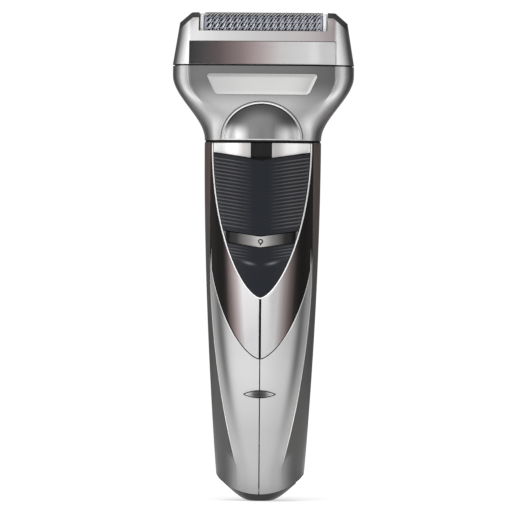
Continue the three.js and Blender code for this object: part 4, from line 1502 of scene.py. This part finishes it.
def world():
    """Soft studio: bright in front, a dip, softer sides, dark behind; the background itself is white."""
    scene = bpy.context.scene
    scene.world = bpy.data.worlds.new("studio")
    scene.world.use_nodes = True
    s = Nodes(scene.world.node_tree)
    axes = s.node("ShaderNodeSeparateXYZ")
    s.link(s.node("ShaderNodeTexCoord").outputs["Generated"], axes.inputs[0])
    x, y, z = axes.outputs
    around = s.ramp(s.remap(y, 1.0, -1.0), [
        (0.0, 0.2), (0.21, 0.12), (0.37, 0.5), (0.5, (0.5, 0.49, 0.48)),
        (0.6, (0.33, 0.32, 0.32)), (0.73, (0.3, 0.285, 0.285)), (0.87, 0.88), (1.0, 1.0),
    ])
    leaning = s.node("ShaderNodeVectorMath", operation="SCALE")
    s.link(around, leaning.inputs[0])
    strength = s.times(s.remap(x, -1.0, 1.0, 1.22, 0.78), s.remap(z, 0.25, 1.0, 1.0, 1.8))
    s.link(strength, leaning.inputs["Scale"])
    seen = s.node("ShaderNodeLightPath").outputs["Is Camera Ray"]
    back = s.nt.nodes["Background"]
    s.link(s.mix(seen, leaning.outputs[0], 1.15), back.inputs["Color"])
    back.inputs["Strength"].default_value = 0.9


def area(name, place, aim, size, energy):
    light = bpy.data.lights.new(name, "AREA")
    light.shape = "RECTANGLE"
    light.size, light.size_y = size
    light.energy = energy
    lamp = bpy.data.objects.new(name, light)
    lamp.location = place
    lamp.rotation_euler = (Vector(aim) - Vector(place)).to_track_quat("-Z", "Y").to_euler()
    bpy.context.scene.collection.objects.link(lamp)


def floor():
    """A round pale floor that fades into the white background at its rim."""
    bm = bmesh.new()
    bmesh.ops.create_circle(bm, cap_ends=True, cap_tris=False, segments=96, radius=FLOOR_RADIUS)
    mesh = bpy.data.meshes.new("floor")
    bm.to_mesh(mesh)
    bm.free()
    ground = bpy.data.objects.new("floor", mesh)
    ground.location.z = -0.0001
    bpy.context.scene.collection.objects.link(ground)
    s = Surface("pale_floor", 0.0, 0.7)
    away = s.node("ShaderNodeVectorMath", operation="LENGTH")
    s.link(s.place, away.inputs[0])
    # The floor glows, less towards the middle: a painted pool of shade round the groomer's foot, so the
    # contact shadow shows.
    glow = s.remap(away.outputs["Value"], 0.02, 0.11, 0.55, 1.0, soft=True)
    s.shader.inputs["Emission Color"].default_value = (1, 1, 1, 1)
    s.link(glow, s.shader.inputs["Emission Strength"])
    mesh.materials.append(s.finish(0.8, 60.0, bump=0.0, tint=0.01))


def camera():
    """A level view through a long lens, turned slightly to the right and rolled as little."""
    lens, sensor, height = 400, 36, 0.1733
    distance = height * lens / sensor
    aim = Vector((-0.0020, 0, 0.0826))
    data = bpy.data.cameras.new("camera")
    data.lens = lens
    data.sensor_width = sensor
    data.clip_end = 20
    eye = bpy.data.objects.new("camera", data)
    turn, roll = math.radians(2), math.radians(-0.5)
    eye.location = aim + distance * Vector((math.sin(turn), -math.cos(turn), 0))
    eye.rotation_euler = (math.pi / 2, roll, turn)
    bpy.context.scene.collection.objects.link(eye)
    bpy.context.scene.camera = eye
    bpy.context.scene.view_settings.view_transform = "Standard"


camera()
world()
floor()
area("top", (0, -0.25, 0.75), (0, 0, 0.08), (0.7, 0.5), 1.2)
area("front", (-0.35, -0.9, 0.45), (0, 0, 0.09), (1.2, 1.0), 2.6)

dress_cad_nodes()
back_shell()
front_covers()
inner_fascia()
edge_trims()
shoulder_plates()
gaskets()
power_slider()
lower_pads()
indicator()
lens_badge()
base_cap()
head_shell()
dome()
inlay()
foil_frame()
panels()
foil()
foil_ends()
float_springs()
